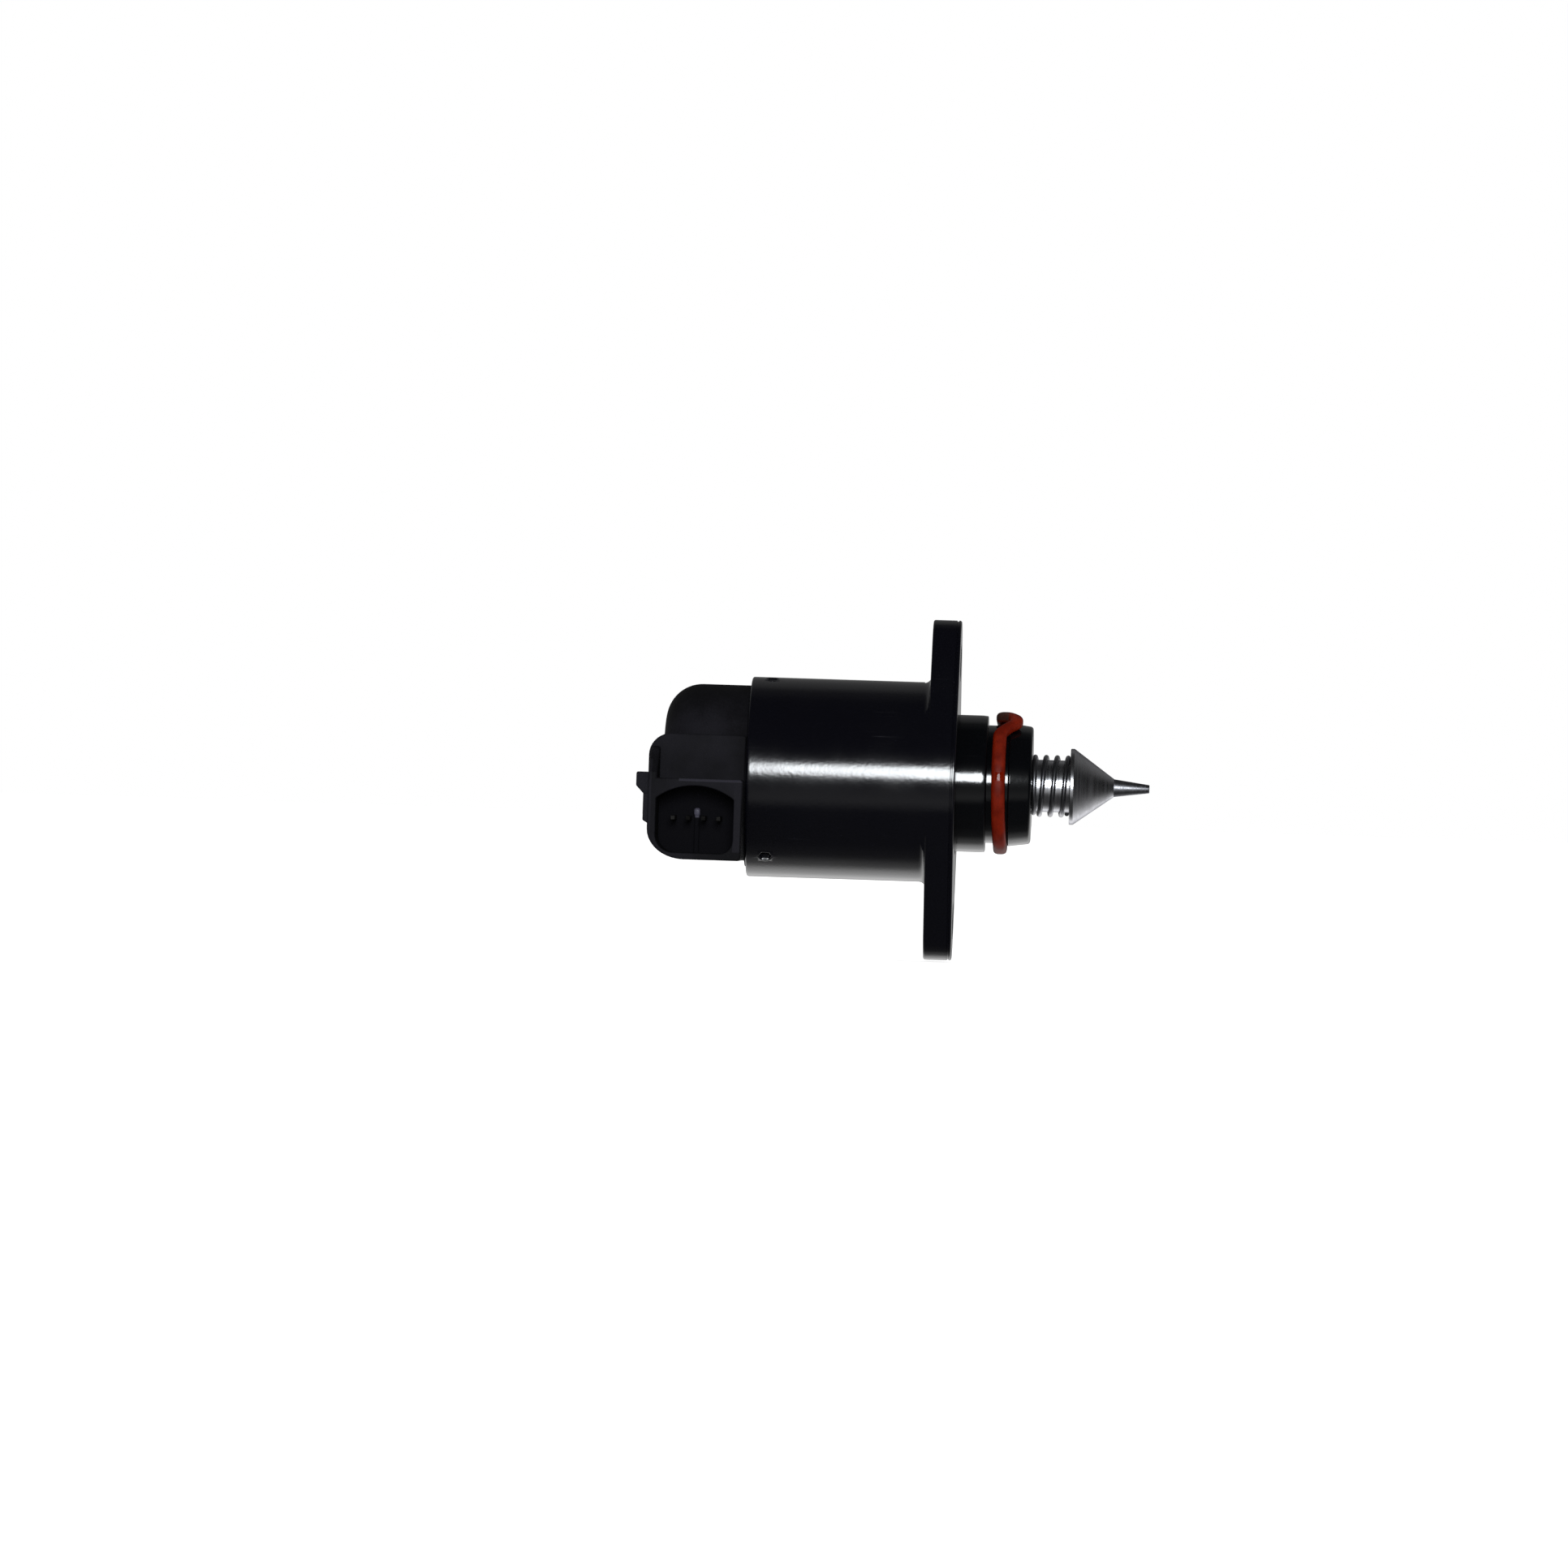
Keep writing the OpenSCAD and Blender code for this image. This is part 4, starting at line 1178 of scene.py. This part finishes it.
@dataclass
class Nose:
    """Gloss nose with the ring's groove, the bearing's pocket and the guide key's seat, in millimetres."""

    bore_r: float = 3.85
    land_r: float = 10.0
    groove_r: float = 8.6
    front_land_r: float = 9.0
    front_edge_r: float = 8.55
    land: float = 4.35
    groove_front: float = 7.6
    length: float = 10.95
    pocket_r: float = 5.25
    pocket_outer_r: float = 6.45
    pocket_floor: float = -2.9
    pocket_rear: float = -6.49
    flange_r: float = 13.15
    flange: tuple[float, float] = (-3.42, -1.62)
    key: tuple[float, float, float] = (4.6, 9.6, 1.2)
    key_top: float = 4.9

    def build(self, shop: Workshop) -> None:
        """Builds and dresses the nose.

        Args:
            shop: Workshop that adds the pieces.
        """
        rear, front = self.flange
        corners = [(self.pocket_rear, self.pocket_r, 0.1), (self.pocket_rear, self.pocket_outer_r, 0.15),
                   (rear, self.pocket_outer_r, 0.1), (rear, self.flange_r, 0.15), (front, self.flange_r, 0.1),
                   (front, self.land_r, 0.0), (self.land * 0.5, self.land_r, 0.0),
                   (self.land - 0.8, self.land_r, 0.0), (self.land, self.land_r - 0.07, 0.16),
                   (self.land, self.groove_r, 0.12), (self.groove_front, self.groove_r, 0.08),
                   (self.groove_front, self.front_land_r, 0.2), (self.length, self.front_edge_r, 0.5),
                   (self.length, self.bore_r, 0.2), (self.pocket_floor, self.bore_r, 0.1),
                   (self.pocket_floor, self.pocket_r, 0.1)]
        low, high, width = self.key
        seat = block("seat", (low - 0.025, -width / 2 - 0.025, self.bore_r - 0.3),
                     (high + 0.025, width / 2 + 0.025, self.key_top + 0.025))
        body = combined(lathe("nose_body", rounded_outline(corners), steps=160), (Cut.TAKE, seat))
        nose = shop.solid("nose_body", body, Slot.NOSE_BLACK)
        shop.hand_over(nose, Body.HOUSING, "nose_housing")
        shop.dress_node("guide_key", Slot.DULL_STEEL)


@dataclass
class SealingRing:
    """Flattened silicone ring that has climbed over the nose's front land at the top, in millimetres."""

    thickness: float = 1.6
    width: float = 2.0
    seat: tuple[float, float] = (6.58, 9.42)
    near_shift: float = 0.45
    near_middle: float = 20.0
    ride: tuple[float, float] = (8.45, 9.9)
    leaves: float = 34.0
    returns: float = 104.0
    rise: float = 24.0
    slant_out: tuple[float, float] = (12.0, 32.0)
    slant_back: tuple[float, float] = (36.0, 12.0)
    squareness: float = 0.7
    steps: int = 288
    sides: int = 28

    def build(self, shop: Workshop) -> None:
        """Builds and dresses the ring.

        Args:
            shop: Workshop that adds the piece.
        """
        sections = [self._section(360.0 * i / self.steps - 90.0) for i in range(self.steps)]
        ring = shop.add("sealing_ring_body", skin("sealing_ring_body", sections, True), Slot.SILICONE)
        shop.hand_over(ring, Body.HOUSING, "sealing_ring")

    def _section(self, degrees: float) -> list[Vector]:
        """Flattened section of the ring.

        Args:
            degrees: Angle above the side that faces the camera.

        Returns:
            Points of the section.
        """
        up = (smoothstep(self.leaves, self.leaves + self.rise, degrees)
              - smoothstep(self.returns - self.rise, self.returns, degrees))
        out, back = self.slant_out, self.slant_back
        shift = (smoothstep(self.leaves + out[0], self.leaves + out[1], degrees)
                 - smoothstep(self.returns - back[0], self.returns - back[1], degrees))
        seat_x = self.seat[0] - self.near_shift * max(0.0, math.cos(math.radians(degrees - self.near_middle)))
        x = seat_x + (self.ride[0] - seat_x) * shift
        r = self.seat[1] + (self.ride[1] - self.seat[1]) * up
        points = []
        for j in range(self.sides):
            u = math.tau * (j + 0.5) / self.sides
            across = math.copysign(abs(math.cos(u)) ** self.squareness, math.cos(u)) * self.width / 2.0
            outwards = math.copysign(abs(math.sin(u)) ** self.squareness, math.sin(u)) * self.thickness / 2.0
            points.append(polar((x + across) * MM, (r + outwards) * MM, degrees))
        return points


@dataclass
class Pintle:
    """Sprung cone with its lead screw, whose ground front end is the needle tip, in millimetres."""

    hub_r: float = 3.8
    hub_rear: float = -1.0
    cone_x: float = 16.5
    cone_r: float = 5.55
    cone_rim: float = 0.55
    cone_tip_x: float = 22.9
    slot_floor: float = 2.95
    slot_w: float = 1.36
    slot_end: float = 11.5
    screw_rear: float = -18.09
    screw_neck: float = 6.0
    screw_r: float = 1.9
    core_r: float = 1.55
    lead: float = 1.0
    neck_r: float = 1.3
    tip_x: float = 28.1
    tip_r: float = 0.6
    wire_r: float = 0.35
    coil_r: float = 4.2
    spring_turns: float = 3.0
    spring_flat: float = 0.45
    spring_ends: tuple[float, float] = (11.32, 16.13)

    def build(self, shop: Workshop, coils: CoilTree) -> None:
        """Builds and dresses the cone, the screw and the spring.

        Args:
            shop: Workshop that adds the pieces.
            coils: Tree that winds the spring and the thread.
        """
        slot = block("slot", (self.hub_rear - 1.0, -self.slot_w / 2, self.slot_floor),
                     (self.slot_end, self.slot_w / 2, self.hub_r + 1.0))
        body = combined(lathe("cone_body", self._cone_outline(), steps=160), (Cut.TAKE, slot))
        cone = shop.solid("cone_body", body, Slot.SATIN_STEEL, sharp=30.0)
        shop.hand_over(cone, Body.PINTLE, "pintle_cone")
        screw = shop.solid("screw_and_tip", lathe("screw_and_tip", self._screw_outline(), steps=72),
                           Slot.BRIGHT_STEEL)
        shop.hand_over(screw, Body.PINTLE, "lead_screw")
        turns = (self.screw_neck - self.screw_rear - 1.2) / self.lead
        thread = coils.wind(shop, "screw_thread", Slot.BRIGHT_STEEL, points=int(turns * 28), sides=3,
                            Wire_radius=0.36 * MM, Coil_radius=(self.screw_r - 0.36) * MM, Turns=turns,
                            Start=(self.screw_rear + 0.6) * MM, End=(self.screw_neck - 0.6) * MM)
        shop.hand_over(thread, Body.PINTLE)
        first, last = self.spring_ends
        spring = coils.wind(shop, "return_spring", Slot.SPRING_STEEL, points=520, sides=20,
                            Wire_radius=self.wire_r * MM, Coil_radius=self.coil_r * MM,
                            Turns=self.spring_turns, Flat_turns=self.spring_flat,
                            Start=first * MM, End=last * MM, Start_angle=math.pi / 2.0)
        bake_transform(spring)
        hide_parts("pintle_spring")
        LOG.info("%s: %d faces between housing and pintle", spring.name, len(spring.data.polygons))

    def _cone_outline(self) -> Outline:
        """Outline of the hub and the cone round their bore.

        Returns:
            The outline as place along the axis and radius.
        """
        bore, neck = self.screw_r + 0.05, self.neck_r + 0.01
        return rounded_outline([
            (self.hub_rear, bore, 0.1), (self.hub_rear, self.hub_r, 0.15), (6.0, self.hub_r, 0.0),
            (self.cone_x - 0.6, self.hub_r, 0.0), (self.cone_x, self.hub_r, 0.08),
            (self.cone_x, self.cone_r, 0.13), (self.cone_x + self.cone_rim, self.cone_r, 0.16),
            (self.cone_tip_x - 0.25, neck + 0.2, 0.3), (self.cone_tip_x, neck + 0.03, 0.0),
            (self.cone_tip_x, neck, 0.0), (self.screw_neck + 0.02, neck, 0.0),
            (self.screw_neck + 0.02, bore, 0.0)])

    def _screw_outline(self) -> Outline:
        """Outline of the screw's core, its neck and the needle tip.

        Returns:
            The outline as place along the axis and radius.
        """
        return rounded_outline([
            (self.screw_rear, 0.0, 0.0), (self.screw_rear, self.core_r, 0.3),
            (self.screw_neck, self.core_r, 0.05), (self.screw_neck, self.neck_r, 0.0),
            (self.cone_tip_x, self.neck_r, 0.0),
            (self.tip_x, self.tip_r, 0.1), (self.tip_x, 0.0, 0.0)])


@dataclass
class Connector:
    """Moulded cap with its plug, block, shroud, socket, lock lug, seal and terminal pins, in millimetres."""

    cap_r: float = 13.3
    cap_rear: float = -42.7
    cap_front: float = -30.32
    cap_round: float = 5.2
    flat: float = -12.3
    hollow_r: float = 10.8
    hollow_rear: float = -41.3
    hollow_round: float = 2.7
    plug_front: float = -23.0
    plug_r: float = 13.15
    block_back: float = -44.5
    block_front: float = -30.45
    block_top: float = 5.9
    block_y: tuple[float, float] = (-13.5, 6.0)
    low_corner: tuple[float, float] = (5.4, 4.3)
    shroud_back: float = -44.1
    shroud_top: float = -0.6
    mouth_y: float = -20.5
    socket_x: tuple[float, float] = (-42.9, -31.65)
    socket_z: tuple[float, float] = (-11.35, -1.6)
    socket_end: float = -11.5
    arch_rise: float = 1.9
    edge: float = 0.3
    pin_x: tuple[float, ...] = (-40.575, -38.375, -36.175, -33.975)
    pin_z: float = -6.3
    pin_hole_half: float = 0.34
    pin_rounding: float = 0.07 * MM

    def build(self, shop: Workshop) -> None:
        """Builds and dresses the cap and the pins.

        Args:
            shop: Workshop that adds the pieces.
        """
        under = block("under", (-60.0, -20.0, -20.0), (-20.0, 20.0, self.flat))
        body = combined(self._round_cap(), (Cut.TAKE, under), (Cut.JOIN, self._plug()),
                        (Cut.JOIN, self._block()), (Cut.JOIN, self._shroud()), (Cut.JOIN, self._web()),
                        (Cut.JOIN, self._pad()), (Cut.JOIN, self._lug()),
                        (Cut.TAKE, self._hollow()), (Cut.TAKE, self._socket()), (Cut.JOIN, self._rib()),
                        (Cut.JOIN, self._button()),
                        *[(Cut.TAKE, self._pin_hole(x)) for x in self.pin_x])
        cap = shop.solid("cap_and_socket", body, Slot.BLACK_PLASTIC)
        shop.hand_over(cap, Body.HOUSING, "connector_cap")
        for number in range(1, 5):
            node = f"terminal_pin_{number}"
            pin = shop.rounded_copy(node, f"contact_{number}", Slot.TINNED_PIN, self.pin_rounding, segments=2)
            shop.hand_over(pin, Body.HOUSING, node)
        shop.dress_node("cap_seal", Slot.BLACK_RUBBER)

    def _round_cap(self) -> bpy.types.Mesh:
        """Round cap behind the can, with its large rear rounding.

        Returns:
            The closed mesh.
        """
        return lathe("cap_and_socket", rounded_outline(
            [(self.cap_rear, 0.0, 0.0), (self.cap_rear, self.cap_r, self.cap_round), (-35.0, self.cap_r, 0.0),
             (-32.0, self.cap_r, 0.0), (self.cap_front, self.cap_r, 0.15), (self.cap_front, 0.0, 0.0)], step=6.0))

    def _plug(self) -> bpy.types.Mesh:
        """Plug inside the can, with its lock groove and its seal's groove.

        Returns:
            The closed mesh.
        """
        r, front, inner = self.plug_r, self.plug_front, self.hollow_r - 0.5
        return lathe("plug", rounded_outline(
            [(-30.6, inner, 0.0), (-30.6, r, 0.0), (-28.4, r, 0.1), (-28.4, r - 0.95, 0.1),
             (-26.3, r - 0.95, 0.1), (-26.3, r, 0.1), (front - 2.5, r, 0.1), (front - 2.5, r - 1.2, 0.1),
             (front - 1.1, r - 1.2, 0.1), (front - 1.1, r, 0.1), (front, r, 0.3), (front, inner, 0.0)],
            step=30.0))

    def _low_corner(self, back: float) -> list[tuple[float, float, float]]:
        """Long elliptical rounding of the low rear corner.

        Args:
            back: Place of the rear side, in millimetres.

        Returns:
            Corners for an outline, from the rear side to the underside.
        """
        run, rise = self.low_corner
        angles = [math.radians(90.0 * k / 10) for k in range(11)]
        return [(back + run * (1.0 - math.cos(a)), self.flat + rise * (1.0 - math.sin(a)), 0.0)
                for a in angles]

    def _block(self) -> bpy.types.Mesh:
        """Block that carries the shroud.

        Returns:
            The closed mesh.
        """
        outline = rounded_outline([*self._low_corner(self.block_back), (self.block_front, self.flat, 0.5),
                                   (self.block_front, self.block_top, 0.5),
                                   (self.block_back, self.block_top, 3.2)])
        return prism("block", outline, self.block_y, along_y, (self.edge, self.edge))

    def _shroud(self) -> bpy.types.Mesh:
        """Shroud round the socket, with its mouth's outer edge rounded.

        Returns:
            The closed mesh.
        """
        outline = rounded_outline([*self._low_corner(self.shroud_back), (self.block_front, self.flat, 0.5),
                                   (self.block_front, self.shroud_top, 0.5),
                                   (self.shroud_back, self.shroud_top, 0.5)])
        return prism("shroud", outline, (self.mouth_y, self.block_y[0] + 1.0), along_y, (self.edge, 0.0))

    def _web(self) -> bpy.types.Mesh:
        """Sloping web that carries the shroud's rear wall up to the block.

        Returns:
            The closed mesh.
        """
        outline = rounded_outline([(-12.52, -1.13, 0.0), (-20.48, -1.13, 0.0), (-20.48, 0.2, 0.3),
                                   (-15.9, 3.5, 2.0), (-12.52, 4.2, 0.0)])
        return prism("web", outline, (self.shroud_back + 0.02, self.shroud_back + 1.3), along_x, (0.4, 0.4))

    def _pad(self) -> bpy.types.Mesh:
        """Pad below the lock lug.

        Returns:
            The closed mesh.
        """
        back = self.shroud_back
        outline = rounded_outline([(back + 1.0, -2.9, 0.0), (back - 0.7, -2.9, 0.15),
                                   (back - 0.7, -6.8, 0.25), (back, -7.2, 0.0), (back + 1.0, -7.2, 0.0)])
        return prism("pad", outline, (self.mouth_y + 0.4, -13.3), along_y, (0.15, 0.0))

    def _lug(self) -> bpy.types.Mesh:
        """Lock lug that the plug's clip snaps over.

        Returns:
            The closed mesh.
        """
        back = self.shroud_back
        outline = rounded_outline([(back + 1.0, 0.2, 0.0), (back - 1.8, 0.2, 0.3), (back - 1.8, -1.8, 0.3),
                                   (back - 0.72, -2.95, 0.2), (back - 0.72, -4.0, 0.0),
                                   (back + 1.0, -4.0, 0.0)])
        return prism("lug", outline, (self.mouth_y + 1.0, self.mouth_y + 4.6), along_y, (0.25, 0.25))

    def _hollow(self) -> bpy.types.Mesh:
        """Space inside the cap, open towards the stator.

        Returns:
            The cutting solid.
        """
        return lathe("hollow", rounded_outline(
            [(self.hollow_rear, 0.0, 0.0), (self.hollow_rear, self.hollow_r, self.hollow_round),
             (self.plug_front + 1.0, self.hollow_r, 0.0), (self.plug_front + 1.0, 0.0, 0.0)]), steps=96)

    def _socket(self) -> bpy.types.Mesh:
        """Socket with straight walls, rounded low corners, an arched top and a rounded mouth.

        Returns:
            The cutting solid.
        """
        rear, front = self.socket_x
        low, high = self.socket_z
        middle, half = (rear + front) / 2.0, (front - rear) / 2.0
        radius = (half ** 2 + self.arch_rise ** 2) / (2.0 * self.arch_rise)
        sweep = math.degrees(math.asin(half / radius))
        arch = []
        for step in range(1, 16):
            angle = math.radians(90.0 - sweep + 2.0 * sweep * step / 16.0)
            arch.append((middle + radius * math.cos(angle), high - radius + radius * math.sin(angle), 0.0))
        outline = rounded_outline([(rear, low, 2.6), (front, low, 2.0), (front, high - self.arch_rise, 0.35),
                                   *arch, (rear, high - self.arch_rise, 0.35)])
        return prism("socket", outline, (self.mouth_y, self.socket_end), along_y, (-0.2, 0.0))

    def _rib(self) -> bpy.types.Mesh:
        """Upright rib on the socket's end wall, between the two middle pins.

        Returns:
            The closed mesh.
        """
        middle, low, high = sum(self.socket_x) / 2.0, self.socket_z[0] - 0.3, self.pin_z + 1.2
        outline = rounded_outline([(middle - 0.35, low, 0.0), (middle + 0.35, low, 0.0),
                                   (middle + 0.35, high, 0.3), (middle - 0.35, high, 0.3)])
        return prism("rib", outline, (self.socket_end - 0.8, self.socket_end + 0.3), along_y, (0.2, 0.0))

    def _button(self) -> bpy.types.Mesh:
        """Domed end of the mould's pin at the top of the rib.

        Returns:
            The closed mesh.
        """
        middle, high = sum(self.socket_x) / 2.0, self.pin_z + 1.5
        outline = rounded_outline([(middle - 0.55, high - 1.25, 0.5), (middle + 0.55, high - 1.25, 0.5),
                                   (middle + 0.55, high, 0.5), (middle - 0.55, high, 0.5)], step=22.0)
        return prism("button", outline, (self.socket_end - 0.95, self.socket_end + 0.2), along_y, (0.35, 0.0))

    def _pin_hole(self, x: float) -> bpy.types.Mesh:
        """Square hole that a pin passes through.

        Args:
            x: Place of the pin along the axis, in millimetres.

        Returns:
            The cutting solid.
        """
        half = self.pin_hole_half
        return block("pin_hole", (x - half, self.socket_end - 1.0, self.pin_z - half),
                     (x + half, -8.0, self.pin_z + half))


@dataclass
class Motor:
    """Stepper motor inside the can: bearing, rotor, nut, poles and windings."""

    wire_r: float = 0.13 * MM
    winding_r: float = 11.9 * MM
    winding_gap: float = 0.16 * MM

    def build(self, shop: Workshop, coils: CoilTree) -> None:
        """Dresses the motor's nodes and winds the outer layer of each winding.

        Args:
            shop: Workshop that adds the pieces.
            coils: Tree that winds the wire.
        """
        for node, slot in {
            "wave_washer": Slot.SPRING_STEEL, "bearing_outer_race": Slot.BRIGHT_STEEL,
            "bearing_inner_race": Slot.BRIGHT_STEEL, "bearing_cage": Slot.BRASS,
            "bearing_balls": Slot.BRIGHT_STEEL, "rotor_magnet": Slot.MAGNET,
            "rotor_hub": Slot.WHITE_PLASTIC, "drive_nut": Slot.BRASS,
            "pole_cup_front": Slot.DULL_STEEL, "pole_plate_front": Slot.DULL_STEEL,
            "pole_cup_rear": Slot.DULL_STEEL, "pole_plate_rear": Slot.DULL_STEEL,
            "bobbin_front": Slot.WHITE_PLASTIC, "bobbin_rear": Slot.WHITE_PLASTIC,
            "winding_front": Slot.COPPER, "winding_rear": Slot.COPPER,
            "rear_end_plate": Slot.DULL_STEEL, "rear_bush": Slot.BRASS,
        }.items():
            shop.dress_node(node, slot)
        for side in ("front", "rear"):
            low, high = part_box(f"winding_{side}")
            turns = (high.x - low.x - 2.0 * self.winding_gap) / (2.0 * self.wire_r)
            layer = coils.wind(shop, f"wire_layer_{side}", Slot.COPPER, points=int(turns * 40), sides=6,
                               Wire_radius=self.wire_r, Coil_radius=self.winding_r, Turns=turns,
                               Start=low.x + self.winding_gap, End=high.x - self.winding_gap)
            shop.hand_over(layer, Body.HOUSING)


@dataclass
class Studio:
    """Camera at the photograph's angle, a soft lamp, a pale floor and white surroundings."""

    distance: float = 1.5
    frame_width: float = 0.2293
    azimuth: float = 2.3
    roll: float = 1.85
    centre_x: float = -0.0253
    centre_z: float = -0.00095
    key_height: float = 10.0
    key_size: float = 0.37
    key_power: float = 11.0
    key_distance: float = 1.4
    key_colour: Colour = (0.93, 0.97, 1.0)
    floor_z: float = -0.0262
    floor_half: float = 6.0
    floor_colour: Colour = (0.9, 0.9, 0.9)
    floor_lift: float = 0.7
    room_light: float = 0.6
    room_strength: float = 1.4
    table_by_depth: Stops = ((-1.0, 0.27), (0.70, 1.0), (-0.93, 0.22), (-0.80, 0.025), (-0.2, 0.03),
                             (0.15, 0.06), (0.45, 0.30))
    table_by_height: Stops = ((-0.45, 1.0), (0.3, 0.10), (-0.1, 0.35))
    flank_by_height: Stops = ((-0.4, 0.25), (0.3, 0.06))
    flank_by_side: Stops = ((0.35, 0.0), (0.65, 1.0))
    flank_by_depth: Stops = ((-0.25, 0.0), (0.25, 1.0))

    def build(self) -> None:
        """Makes the camera, the lamps, the world and the floor."""
        scene = bpy.context.scene
        scene.view_settings.view_transform = "Standard"
        self._camera(scene)
        self._key_lamp()
        self._world(scene)
        self._floor()

    def _camera(self, scene: bpy.types.Scene) -> None:
        """Places the camera, rolled as the photograph is.

        Args:
            scene: Scene that gets the camera.
        """
        data = bpy.data.cameras.new("camera")
        data.sensor_width = 36.0
        data.lens = data.sensor_width * self.distance / self.frame_width
        data.clip_start, data.clip_end = 0.01, 50.0
        camera = bpy.data.objects.new("camera", data)
        scene.collection.objects.link(camera)
        angle = math.radians(self.azimuth)
        back = Vector((math.sin(angle), -math.cos(angle), 0.0))
        target = Vector((self.centre_x, 0.0, self.centre_z))
        turn = back.to_track_quat("Z", "Y").to_matrix().to_4x4()
        roll = Matrix.Rotation(math.radians(self.roll), 4, "Z")
        camera.matrix_world = Matrix.Translation(target + back * self.distance) @ turn @ roll
        scene.camera = camera

    def _key_lamp(self) -> None:
        """Small soft box a little above the camera."""
        data = bpy.data.lights.new("key_soft_box", "AREA")
        data.shape = "DISK"
        data.size = self.key_size
        data.energy = self.key_power
        data.color = self.key_colour
        lamp = bpy.data.objects.new("key_soft_box", data)
        bpy.context.scene.collection.objects.link(lamp)
        tilt, turn = math.radians(self.key_height), math.radians(self.azimuth)
        back = Vector((math.sin(turn) * math.cos(tilt), -math.cos(turn) * math.cos(tilt), math.sin(tilt)))
        lamp.location = back * self.key_distance
        lamp.rotation_euler = back.to_track_quat("Z", "Y").to_euler()

    def _world(self, scene: bpy.types.Scene) -> None:
        """White surroundings for the camera, and a dim room in front for what gloss and metal reflect.

        Args:
            scene: Scene that gets the world.
        """
        world = bpy.data.worlds.new("studio")
        scene.world = world
        world.use_nodes = True
        sky = Wiring(world.node_tree)
        here = sky.node("ShaderNodeTexCoord").outputs["Generated"]
        x, y, z = sky.node("ShaderNodeSeparateXYZ", Vector=here).outputs
        behind = self._graded(sky, y, self.table_by_depth)
        below = self._graded(sky, z, self.table_by_height)
        room = sky.math("MULTIPLY", sky.math("MULTIPLY", behind, below), self.room_strength)
        flank = self._graded(sky, z, self.flank_by_height)
        for side, stops in ((sky.math("ABSOLUTE", x), self.flank_by_side), (y, self.flank_by_depth)):
            flank = sky.math("MULTIPLY", flank, self._graded(sky, side, stops))
        rays = sky.node("ShaderNodeLightPath").outputs
        reflected = sky.math("MAXIMUM", rays["Is Glossy Ray"], rays["Is Transmission Ray"])
        seen = sky.blend(reflected, self.room_light, sky.math("ADD", room, flank), False)
        level = sky.blend(rays["Is Camera Ray"], seen, 1.0, False)
        background = sky.node("ShaderNodeBackground", Color=(1.0, 1.0, 1.0), Strength=level)
        sky.node("ShaderNodeOutputWorld", Surface=background.outputs[0])

    @staticmethod
    def _graded(sky: Wiring, value: Socket, stops: Stops) -> Socket:
        """Grey level that follows one coordinate of the direction looked in.

        Args:
            sky: Tree that gets the nodes.
            value: Coordinate, from -1 to 1.
            stops: Coordinates and their levels, the first and the last of them first.

        Returns:
            The level's socket.
        """
        spread = sky.node("ShaderNodeMapRange", Value=value)
        spread.inputs[1].default_value = -1.0
        ramp = sky.node("ShaderNodeValToRGB", Fac=spread.outputs[0])
        ramp.color_ramp.interpolation = "EASE"
        elements = ramp.color_ramp.elements
        for index, (place, level) in enumerate(stops):
            share = (place + 1.0) / 2.0
            stop = elements[index] if index < 2 else elements.new(share)
            stop.position = share
            stop.color = (level, level, level, 1.0)
        return ramp.outputs[0]

    def _floor(self) -> None:
        """Plain pale floor just below the lower ear, which keeps the valve's shadow."""
        bm = bmesh.new()
        bmesh.ops.create_grid(bm, x_segments=1, y_segments=1, size=self.floor_half,
                              matrix=Matrix.Translation((0.0, 0.0, self.floor_z)))
        mesh = bpy.data.meshes.new("floor")
        bm.to_mesh(mesh)
        bm.free()
        material = bpy.data.materials.new("pale_floor")
        material.use_nodes = True
        tree = Wiring(material.node_tree)
        seen = tree.node("ShaderNodeLightPath").outputs["Is Camera Ray"]
        matt = tree.node("ShaderNodeBsdfDiffuse", Color=self.floor_colour)
        white = tree.node("ShaderNodeEmission", Strength=tree.math("MULTIPLY", seen, self.floor_lift))
        both = tree.node("ShaderNodeAddShader")
        tree.feed(both.inputs[0], matt.outputs[0])
        tree.feed(both.inputs[1], white.outputs[0])
        tree.node("ShaderNodeOutputMaterial", Surface=both.outputs[0])
        mesh.materials.append(material)
        floor = bpy.data.objects.new("floor", mesh)
        bpy.context.scene.collection.objects.link(floor)
        floor.visible_glossy = False


def main() -> None:
    """Builds the studio and every sub-assembly in order."""
    logging.basicConfig(level=logging.INFO, format="%(name)s: %(message)s")
    Studio().build()
    shop = Workshop()
    coils = CoilTree()
    CanAndFlange().build(shop)
    Nose().build(shop)
    SealingRing().build(shop)
    Pintle().build(shop, coils)
    Connector().build(shop)
    Motor().build(shop, coils)


if __name__ == "__main__":
    main()
